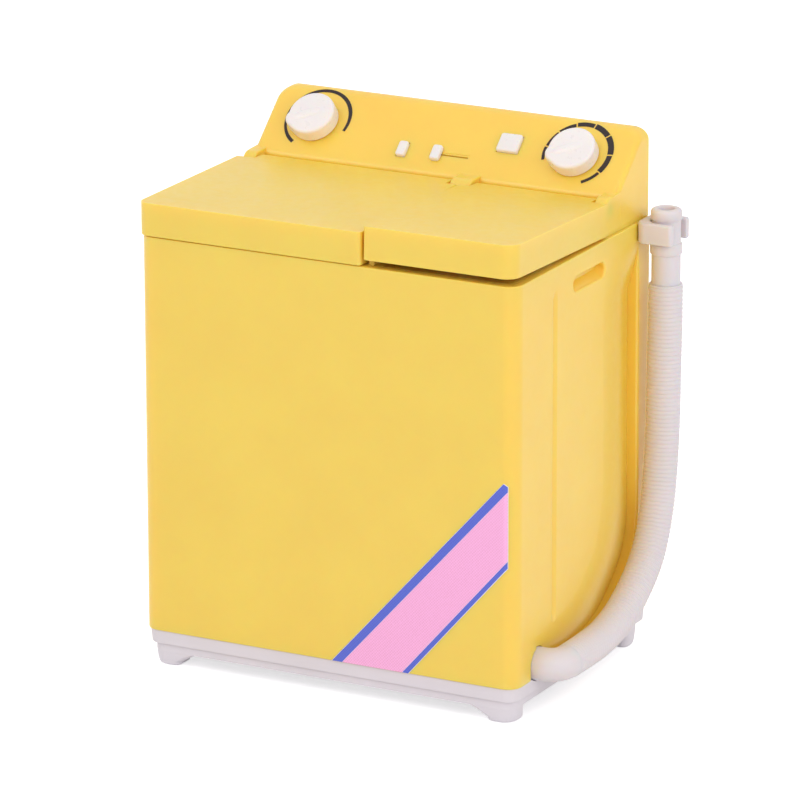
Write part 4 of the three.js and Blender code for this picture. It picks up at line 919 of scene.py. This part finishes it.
class WASHER_OT_knobs(Operator):
    """Adds the two drop-shaped knobs"""
    bl_idname = "washer.knobs"
    bl_label = "Knobs"

    def execute(self, context):
        sizes = context.scene.washer_panel
        nose_turn = Matrix.Rotation(math.radians(205), 4, "Z")
        for name, node, centre in (("knob_wash", "wash_knob", WASH_KNOB),
                                   ("knob_spin", "spin_knob", SPIN_KNOB)):
            bm = knob_shape(sizes.knob_radius / MM, sizes.knob_height / MM, sizes.knob_edge / MM,
                            sizes.ridge_height / MM)
            up = (centre - FACE_FOOT).dot(FACE_UP)
            moved(bm, FACE @ Matrix.Translation((centre.x, up, 0)) @ nose_turn)
            piece(name, bm, knob_plastic(), node, [node])
        return {"FINISHED"}


class WASHER_OT_keys(Operator):
    """Adds the two press keys and the slide key"""
    bl_idname = "washer.keys"
    bl_label = "Keys"

    def execute(self, context):
        edge = context.scene.washer_panel.key_edge / MM
        slide = ("slide_key", *KEYS[0][1:])
        for (node, wide, tall, up), deep, proud in zip((*KEYS, slide), (1.2, 1.2, -0.06), (0.6, 0.6, 0.75)):
            x = middle_x(node)
            bm = block((x - wide / 2, up - tall / 2, -deep), (x + wide / 2, up + tall / 2, proud))
            round_upright(bm, (x - wide / 2, up - tall / 2), (x + wide / 2, up + tall / 2), (edge,) * 4, 4)
            round_edges(bm, edges_where(bm, lambda co: near(co.z, proud)), edge * 0.8, 3)
            if node == "slide_key":
                add_block(bm, (x - 0.35, up - 0.1, -1.6), (x + 0.35, up + 0.1, proud / 2))
            piece("key_" + node.removesuffix("_key"), moved(bm, FACE), knob_plastic(), node, [node])
        return {"FINISHED"}


# Printed marks and band

def arc_strip(centre, from_deg, to_deg, inner, outer, steps=12):
    """A flat strip on the console's face between two radii, which are functions of its share of the way."""
    bm = bmesh.new()
    grid = bmesh.ops.create_grid(bm, x_segments=steps, y_segments=1, size=0.5)["verts"]
    for vert in grid:
        share, side = vert.co.x + 0.5, vert.co.y + 0.5
        angle = math.radians(from_deg + (to_deg - from_deg) * share)
        radius = inner(share) + (outer(share) - inner(share)) * side
        vert.co = (centre[0] + radius * math.cos(angle), centre[1] + radius * math.sin(angle), 0)
    return bm


def print_piece(bm, thick):
    """A printed film just proud of what it lies on; its face looks along +Z before it is placed."""
    bmesh.ops.recalc_face_normals(bm, faces=bm.faces)
    for face in bm.faces:
        if face.normal.z < 0:
            face.normal_flip()
    grown = bmesh.ops.extrude_face_region(bm, geom=bm.faces[:], use_keep_orig=True)["geom"]
    bmesh.ops.translate(bm, vec=(0, 0, thick), verts=of_kind(grown, bmesh.types.BMVert))
    bmesh.ops.recalc_face_normals(bm, faces=bm.faces)
    return bm


# The middles of the two dials, across and up the console's face.
WASH_DIAL = (WASH_KNOB.x + 0.15, 6.65)
SPIN_DIAL = (SPIN_KNOB.x, 6.45)
# The wash dial's one stroke, as shares of its way and its width there.
WASH_STROKE = [(0.0, 0.55), (0.19, 0.4), (0.58, 0.5), (0.8, 0.6), (1.0, 0.45)]
# The spin dial's strokes: the degrees they start and end at, their outer radius and their width.
SPIN_STROKES = [
    (199.5, 174.2, 5.3, 0.45), (171.8, 142.2, 5.225, 0.5), (139.8, 110.7, 5.3, 0.6),
    (108.3, 78.2, 5.4, 0.7), (75.8, 44.7, 5.5, 0.85), (42.3, 6.2, 5.55, 0.9),
    (3.8, -29.3, 5.475, 0.8), (-31.7, -63, 5.4, 0.5),
]


def stroke_width(share):
    for (a, wide_a), (b, wide_b) in zip(WASH_STROKE, WASH_STROKE[1:]):
        if share <= b:
            return wide_a + (wide_b - wide_a) * smooth((share - a) / (b - a))
    return WASH_STROKE[-1][1]


class WASHER_OT_dial_marks(Operator):
    """Adds the printed marks round the two knobs"""
    bl_idname = "washer.dial_marks"
    bl_label = "Dial marks"

    def execute(self, context):
        sizes = context.scene.washer_panel
        ink = printed_film("Black ink", tuple(context.scene.washer_finish.mark_colour), 0.1)
        radius = sizes.dial_radius / MM
        thick = sizes.print_thickness / MM
        wash = arc_strip(WASH_DIAL, 240, -17, lambda s: radius - stroke_width(s) / 2,
                         lambda s: radius + stroke_width(s) / 2, 96)
        piece("dial_wash", moved(print_piece(wash, thick), FACE), ink)
        spin = bmesh.new()
        for start, end, outer, wide in SPIN_STROKES:
            join_in(spin, arc_strip(SPIN_DIAL, start, end, lambda s: outer - wide, lambda s: outer, 14))
        piece("dial_spin", moved(print_piece(spin, thick), FACE), ink)
        return {"FINISHED"}


class WASHER_OT_band(Operator):
    """Adds the printed diagonal band on the front"""
    bl_idname = "washer.band"
    bl_label = "Front band"

    def execute(self, context):
        finish = context.scene.washer_finish
        pink = printed_film("Pink print", tuple(finish.band_colour), 0.25)
        blue = printed_film("Blue print", tuple(finish.stripe_colour), 0.15)
        white = printed_film("White film", (0.9, 0.88, 0.9), 0.05)
        base, corner = BASE_TOP + 0.05, context.scene.washer_body.front_radius / MM
        under, over = 0.02, 0.035
        film = [(0.84, 0), (13.16, 0), (28.76, 17.84), (28.76, 29.84), (28.12, 30.28)]
        upper = [(0.9, 0), (2.5, 0), (28.7, 29.05), (28.7, 29.8), (28.1, 30.2)]
        rows = [
            ("band_film", film, white, under),
            ("band_pink", [(2.55, 0), (12.1, 0), (28.7, 18.95), (28.7, 29.0)], pink, over),
            ("band_stripe_upper", upper, blue, over),
            ("band_stripe_lower", [(12.15, 0), (13.1, 0), (28.7, 17.9), (28.7, 18.9)], blue, over),
        ]
        stand = Matrix(((1, 0, 0, 0), (0, 0, -1, 0), (0, 1, 0, 0), (0, 0, 0, 1)))
        flat, bend_step = HALF - corner, 0.22
        for name, corners, ink, thick in rows:
            bm = bmesh.new()
            bm.faces.new([bm.verts.new((x, base + z, 0)) for x, z in corners])
            for k in range(5):
                bmesh.ops.bisect_plane(bm, geom=bm.verts[:] + bm.edges[:] + bm.faces[:],
                                       plane_co=(flat + bend_step * k, 0, 0), plane_no=(1, 0, 0))
            print_piece(bm, thick)
            for vert in bm.verts:
                past = max(vert.co.x - flat, 0.0)
                vert.co.z -= corner - math.sqrt(corner * corner - past * past)
            piece(name, moved(bm, stand), ink)
        return {"FINISHED"}


# Hose and fittings

def hose_route():
    cuff = node_box("hose_cuff")
    start = HOSE_AXIS + Vector((0, ELBOW_BEND + 0.02, 0))
    end = Vector(((cuff[0].x + cuff[1].x) / 2, (cuff[0].y + cuff[1].y) / 2, CABINET_TOP - 8.92))
    tall = CABINET_TOP - BASE_TOP
    points = [start, start + Vector((0, 2.5, 0)), start + Vector((0, 5, 0))]
    points += [Vector((start.x + (end.x - start.x) * up, back * DEPTH, BASE_TOP + up * tall))
               for back, up in HOSE_SHARES]
    points += [end - Vector((0, 0, 5)), end - Vector((0, 0, 2.5)), end]
    return points


def evenly(points, pitch):
    """Places along the curve through points, a pitch apart."""
    fine = [curve_at(points, k / 1600) for k in range(1601)]
    gone = [0.0]
    for a, b in zip(fine, fine[1:]):
        gone.append(gone[-1] + (b - a).length)
    count = round(gone[-1] / pitch)
    places, k = [], 0
    for i in range(count + 1):
        want = gone[-1] * i / count
        while k < len(gone) - 2 and gone[k + 1] < want:
            k += 1
        share = (want - gone[k]) / max(gone[k + 1] - gone[k], 1e-9)
        places.append(fine[k].lerp(fine[k + 1], share))
    return places


class WASHER_OT_hose(Operator):
    """Adds the ribbed drain hose, from the elbow at the base to the cuff at the top"""
    bl_idname = "washer.hose"
    bl_label = "Drain hose"

    def execute(self, context):
        sizes = context.scene.washer_hose
        radius, groove = sizes.hose_radius / MM, sizes.rib_depth / MM
        places = evenly(hose_route(), sizes.rib_pitch / MM / 4)
        wave = [0.0, 0.22, 0.85, 0.3]
        radii = [radius - groove * wave[k % 4] for k in range(len(places))]
        radii[0] = radii[-1] = radius - groove
        bm = swept(places, radii, sizes.sides)
        piece("hose", bm, hose_plastic(), stands_for=["drain_hose"])
        return {"FINISHED"}


class WASHER_OT_hose_fittings(Operator):
    """Adds the hose's elbow, its cuff and the clip that holds it"""
    bl_idname = "washer.hose_fittings"
    bl_label = "Hose fittings"

    def execute(self, context):
        edge = context.scene.washer_hose.fitting_edge / MM
        self.elbow()
        self.cuff()
        self.clip(edge)
        return {"FINISHED"}

    def elbow(self):
        low = node_box("hose_elbow")[0]
        axis, radius, bend, flange, plate = HOSE_AXIS, ELBOW_RADIUS, ELBOW_BEND, 3.3, 0.6
        places = [Vector((low.x + plate, axis.y, axis.z)), Vector((axis.x - bend - 1, axis.y, axis.z))]
        places += [Vector((x, y, axis.z)) for x, y in arc((axis.x - bend, axis.y + bend), bend, -90, 0, 16)]
        end = places.pop()
        places += [end - Vector((0, 0.12, 0)), end]
        bm = swept(places, [radius] * len(places), 48)
        add_block(bm, (low.x, axis.y - flange, BASE_TOP + 0.1),
                  (low.x + plate, axis.y + flange, axis.z + flange))
        piece("elbow", bm, hose_plastic(), stands_for=["hose_elbow"])

    def cuff(self):
        low, high = node_box("hose_cuff")
        foot, collar, cap, head = (CABINET_TOP + rise for rise in (-8.9, -4.5, 0.55, 2.15))
        profile = [(0.9, foot - 3), (1.4, foot - 3), (1.4, foot), (2.1, foot - 0.3), (2.1, collar)]
        profile += [(2.2, collar), (2.32, collar + 0.14), (2.32, collar + 1.46), (2.2, collar + 1.6)]
        profile += [(2.1, collar + 1.62), (2.1, cap), (2.17, cap), (2.25, cap + 0.08)]
        profile += arc((1.75, head - 0.5), 0.5, 0, 90, 6)
        profile += [(1.28, head), (1.2, head - 0.08), (1.2, head - 0.8), (0.9, head - 0.8)]
        bm = revolved(profile, (low + high) / 2)
        piece("cuff", bm, hose_plastic(), stands_for=["hose_cuff"])

    def clip(self, edge):
        low, high = node_box("hose_clip")
        cuff = node_box("hose_cuff")
        centre = (cuff[0] + cuff[1]) / 2
        inner, corner, tip = 2.25, 1.5, 0.5
        near_in, far_in = centre.y - inner, centre.y + inner
        outline = arc((HALF + corner, low.y + corner), corner, 180, 270)
        outline += arc((high.x - tip, low.y + tip), tip, -90, 0)
        outline += [(high.x, near_in + 0.25), (high.x - 1, near_in)]
        outline += arc((centre.x, centre.y), inner, -90, -270, 24)
        outline += [(high.x - 1, far_in), (high.x, far_in - 0.25)]
        outline += arc((high.x - tip, high.y - tip), tip, 0, 90)
        outline += arc((HALF + corner, high.y - corner), corner, 90, 180)
        bm = outlined(outline, (low.z, high.z))
        add_rod(bm, 0.5, (HALF - 0.9, centre.y, low.z + 1.2), (HALF + 0.5, centre.y, low.z + 1.2), 16)
        piece("clip", bm, hose_plastic(), stands_for=["hose_clip"], edge=edge)


# Tubs

class WASHER_OT_tubs(Operator):
    """Adds the wash tub and the spin well that hang in the deck"""
    bl_idname = "washer.tubs"
    bl_label = "Tubs"

    def execute(self, context):
        low, high = node_box("wash_tub")
        reach, wall, draft, corner, foot_radius = 0.9, 0.9, 1.2, 5, 2.0
        inner_low = Vector((low.x + reach, low.y + reach, low.z))
        inner_high = Vector((high.x - reach, high.y - reach, CABINET_TOP))
        bm = block(inner_low, inner_high)
        round_upright(bm, inner_low, inner_high, (corner,) * 4)
        foot = [vert for vert in bm.verts if near(vert.co.z, low.z)]
        middle = (inner_low + inner_high) / 2
        size = inner_high - inner_low
        shrink = [(side - 2 * draft) / side for side in size.xy]
        bmesh.ops.scale(bm, vec=(*shrink, 1), verts=foot, space=Matrix.Translation(-middle))
        round_edges(bm, rim_edges(bm, low.z), foot_radius, 5)
        top = [face for face in bm.faces if face.normal.z > 0.9]
        bmesh.ops.inset_region(bm, faces=top, thickness=wall, use_even_offset=True)
        bmesh.ops.inset_region(bm, faces=top, thickness=draft, depth=-(CABINET_TOP - low.z - wall),
                               use_even_offset=True)
        round_edges(bm, rim_edges(bm, low.z + wall), foot_radius, 5)
        rim = block((low.x, low.y, CABINET_TOP), (high.x, high.y, high.z))
        round_upright(rim, low, high, (corner + reach,) * 4)
        within = reach + wall
        hole_low = (low.x + within, low.y + within, CABINET_TOP - OVERRUN)
        hole_high = (high.x - within, high.y - within, high.z + OVERRUN)
        hole = block(hole_low, hole_high)
        round_upright(hole, hole_low, hole_high, (corner - wall,) * 4)
        join_in(bm, carved(rim, [hole]))
        piece("tub_wash", bm, tub_plastic(), stands_for=["wash_tub"], edge=0.15)
        low, high = node_box("spin_well")
        outer = (high.x - low.x) / 2 - reach
        floor = low.z
        profile = [
            (1.08, floor), (outer - 2, floor), (outer - 0.6, floor + 0.6), (outer, floor + 2),
            (outer, CABINET_TOP), (outer + reach, CABINET_TOP), (outer + reach, high.z - 0.15),
            (outer + reach - 0.15, high.z),
            (outer - wall + 0.2, high.z), (outer - wall, high.z - 0.2), (outer - wall, floor + 2),
            (outer - wall - 0.5, floor + wall + 0.5), (outer - 2, floor + wall), (1.08, floor + wall),
        ]
        bm = revolved(profile, (low + high) / 2)
        piece("well_spin", bm, tub_plastic(), stands_for=["spin_well"])
        return {"FINISHED"}


class WASHER_OT_rotors(Operator):
    """Adds the pulsator in the wash tub and the basket in the spin well"""
    bl_idname = "washer.rotors"
    bl_label = "Pulsator and basket"

    def execute(self, context):
        low, high = node_box("pulsator")
        radius = (high.x - low.x) / 2
        tub_floor, gap, fin_tall, fin_long = 0.9, 0.8, 2.0, radius - 1
        seat = node_box("wash_tub")[0].z + tub_floor + gap
        profile = [(0, seat), (radius - 0.2, seat), (radius, seat + 0.2), (radius, seat + 0.45),
                   (radius - 0.2, seat + 0.75), (radius - 0.5, seat + 0.9), (radius * 0.5, seat + 1.15),
                   (radius * 0.3, seat + 1.5), (radius * 0.22, seat + 2.1), (radius * 0.12, seat + 2.4),
                   (0, seat + 2.45)]
        bm = revolved(profile, (PULSATOR.x, PULSATOR.y))
        for k in range(4):
            outline = [(0, 0), (fin_long, 0)]
            outline += [(fin_long * (1 - s) ** 1.2, fin_tall * math.sin(s * math.pi / 2) ** 0.8)
                        for s in (i / 8 for i in range(1, 8))]
            outline.append((0, fin_tall))
            fin = moved(outlined(outline, (-0.5, 0.5)), Matrix.Rotation(math.pi / 2, 4, "X"))
            turn = Matrix.Rotation(math.pi / 2 * k, 4, "Z")
            moved(fin, Matrix.Translation((PULSATOR.x, PULSATOR.y, seat + 0.45)) @ turn)
            join_in(bm, fin)
        add_rod(bm, 1.0, (PULSATOR.x, PULSATOR.y, low.z), (PULSATOR.x, PULSATOR.y, seat + 0.4), 24)
        piece("pulsator_disc", bm, tub_plastic(), "pulsator", ["pulsator"], edge=0.18)

        low, high = node_box("spin_basket")
        brim = high.z
        brim_reach, basket_tall, wall, rows, columns = 0.5, 31, 0.8, 4, 12
        outer = (high.x - low.x) / 2 - brim_reach
        seat = brim - basket_tall
        profile = [
            (0, seat), (outer - 2, seat), (outer - 0.6, seat + 0.6), (outer, seat + 2),
            (outer, brim - 0.5), (outer + 0.4, brim - 0.5), (outer + 0.5, brim - 0.4),
            (outer + 0.5, brim - 0.1), (outer + 0.4, brim), (outer - wall + 0.15, brim),
            (outer - wall, brim - 0.15), (outer - wall, seat + 2), (outer - wall - 0.5, seat + wall + 0.5),
            (outer - 2, seat + wall), (2, seat + wall), (1.5, seat + 4.4), (1.0, seat + 4.9), (0, seat + 5),
        ]
        shell = revolved(profile, (BASKET.x, BASKET.y))
        drills = bmesh.new()
        for row in range(1, rows + 1):
            for column in range(columns):
                angle = (column + (row % 2) / 2) / columns * math.tau
                out = Vector((math.cos(angle), math.sin(angle), 0))
                at = Vector((BASKET.x, BASKET.y, seat + 2 + row * 27 / 5))
                add_rod(drills, 0.55, at + out * (outer - wall - 1), at + out * (outer + 1), 12)
        bm = carved(shell, [drills])
        add_rod(bm, 1.0, (BASKET.x, BASKET.y, low.z), (BASKET.x, BASKET.y, seat + 0.4), 24)
        piece("basket_drum", bm, tub_plastic(), "basket", ["spin_basket"])
        return {"FINISHED"}


class WASHER_OT_carried_over(Operator):
    """Gives the hidden deck and the push-on rings their plastics"""
    bl_idname = "washer.carried_over"
    bl_label = "Deck and rings"

    def execute(self, context):
        for node, finish in (("top_deck", yellow_plastic()), ("pulsator_clip", tub_plastic()),
                             ("basket_clip", tub_plastic()), ("wash_knob_clip", knob_plastic()),
                             ("spin_knob_clip", knob_plastic())):
            obj = frame["nodes"][node]
            obj.data.materials.clear()
            obj.data.materials.append(finish)
        return {"FINISHED"}


# Stage

class WASHER_OT_stage(Operator):
    """Adds the floor, the soft lights, the pale surroundings and the camera"""
    bl_idname = "washer.stage"
    bl_label = "Stage"

    def execute(self, context):
        self.floor()
        self.surroundings(context)
        self.light(context, "Key", (-0.35, -0.55, 0.6), 0.5, 1.22)
        self.light(context, "Fill", (0.6, -0.35, 0.35), 0.5, 1.34)
        self.light(context, "Top", (0.0, 0.15, 0.7), 0.5, 0.15)
        self.camera(context)
        return {"FINISHED"}

    def floor(self):
        bm = bmesh.new()
        bmesh.ops.create_grid(bm, x_segments=1, y_segments=1, size=1.5)
        mesh = bpy.data.meshes.new("floor")
        bm.to_mesh(mesh)
        bm.free()
        floor = bpy.data.objects.new("floor", mesh)
        floor.location = (0, 0, -0.00005)
        bpy.context.scene.collection.objects.link(floor)
        material, tree, surface = shader("Pale floor")
        surface.inputs["Base Color"].default_value = (0.86, 0.85, 0.86, 1)
        surface.inputs["Roughness"].default_value = 0.9
        surface.inputs["Specular IOR Level"].default_value = 0.1
        surface.inputs["Emission Color"].default_value = (1, 1, 1, 1)
        lift = worked_out(tree, "MULTIPLY", seen_straight(tree), 0.6)
        tree.links.new(lift, surface.inputs["Emission Strength"])
        mesh.materials.append(material)

    def surroundings(self, context):
        world = bpy.data.worlds.new("Pale studio")
        context.scene.world = world
        world.use_nodes = True
        tree = world.node_tree
        back = tree.nodes["Background"]
        back.inputs["Color"].default_value = (1, 1, 1, 1)
        level = tree.nodes.new("ShaderNodeMapRange")
        level.inputs["To Min"].default_value = 0.75
        level.inputs["To Max"].default_value = 1.0
        tree.links.new(seen_straight(tree), level.inputs["Value"])
        tree.links.new(level.outputs["Result"], back.inputs["Strength"])

    def light(self, context, name, place, size, power):
        data = bpy.data.lights.new(name, "AREA")
        data.shape = "SQUARE"
        data.size = size
        data.energy = power
        obj = bpy.data.objects.new(name, data)
        obj.location = place
        aim = Vector((0, 0, 0.035)) - Vector(place)
        obj.rotation_euler = aim.to_track_quat("-Z", "Y").to_euler()
        context.scene.collection.objects.link(obj)

    def camera(self, context):
        data = bpy.data.cameras.new("Camera")
        data.lens = 284.12
        data.sensor_width = 36
        data.clip_start = 0.05
        data.clip_end = 20
        obj = bpy.data.objects.new("Camera", data)
        turn, tip, roll = math.radians(27.835), math.radians(16.881), math.radians(-0.122)
        right = Vector((math.cos(turn), math.sin(turn), 0))
        ahead = Vector((-math.cos(tip) * math.sin(turn), math.cos(tip) * math.cos(turn), -math.sin(tip)))
        up = right.cross(ahead)
        side = right * math.cos(roll) + up * math.sin(roll)
        head = up * math.cos(roll) - right * math.sin(roll)
        place = START + MM * Vector((405.229, -744.937, 295.848 + BASE_TOP))
        obj.matrix_world = Matrix((
            (side.x, head.x, -ahead.x, place.x), (side.y, head.y, -ahead.y, place.y),
            (side.z, head.z, -ahead.z, place.z), (0, 0, 0, 1)))
        context.scene.collection.objects.link(obj)
        context.scene.camera = obj
        view = context.scene.view_settings
        view.view_transform = "Standard"


class WASHER_PT_pieces(Panel):
    """Lists the washer's pieces and the sizes that shape them"""
    bl_label = "Toy Washer"
    bl_idname = "WASHER_PT_pieces"
    bl_space_type = "VIEW_3D"
    bl_region_type = "UI"
    bl_category = "Toy Washer"

    def draw(self, context):
        layout = self.layout
        for step in STEPS:
            layout.operator(step.bl_idname)
        for settings in ("washer_body", "washer_panel", "washer_hose", "washer_finish"):
            box = layout.box()
            group = getattr(context.scene, settings)
            for key in group.bl_rna.properties.keys():
                if key not in {"rna_type", "name"}:
                    box.prop(group, key)


SETTINGS = {
    "washer_body": WasherBodySettings,
    "washer_panel": WasherPanelSettings,
    "washer_hose": WasherHoseSettings,
    "washer_finish": WasherFinishSettings,
}
STEPS = (
    WASHER_OT_stage, WASHER_OT_cabinet, WASHER_OT_base, WASHER_OT_lids, WASHER_OT_console, WASHER_OT_knobs,
    WASHER_OT_keys, WASHER_OT_dial_marks, WASHER_OT_band, WASHER_OT_hose, WASHER_OT_hose_fittings,
    WASHER_OT_tubs, WASHER_OT_rotors, WASHER_OT_carried_over,
)


def register():
    for group in (*SETTINGS.values(), *STEPS, WASHER_PT_pieces):
        bpy.utils.register_class(group)
    for name, group in SETTINGS.items():
        setattr(bpy.types.Scene, name, PointerProperty(type=group))


def unregister():
    for name in SETTINGS:
        delattr(bpy.types.Scene, name)
    for group in reversed((*SETTINGS.values(), *STEPS, WASHER_PT_pieces)):
        bpy.utils.unregister_class(group)


def main():
    register()
    for step in STEPS:
        family, action = step.bl_idname.split(".")
        getattr(getattr(bpy.ops, family), action)()


if __name__ == "__main__":
    main()
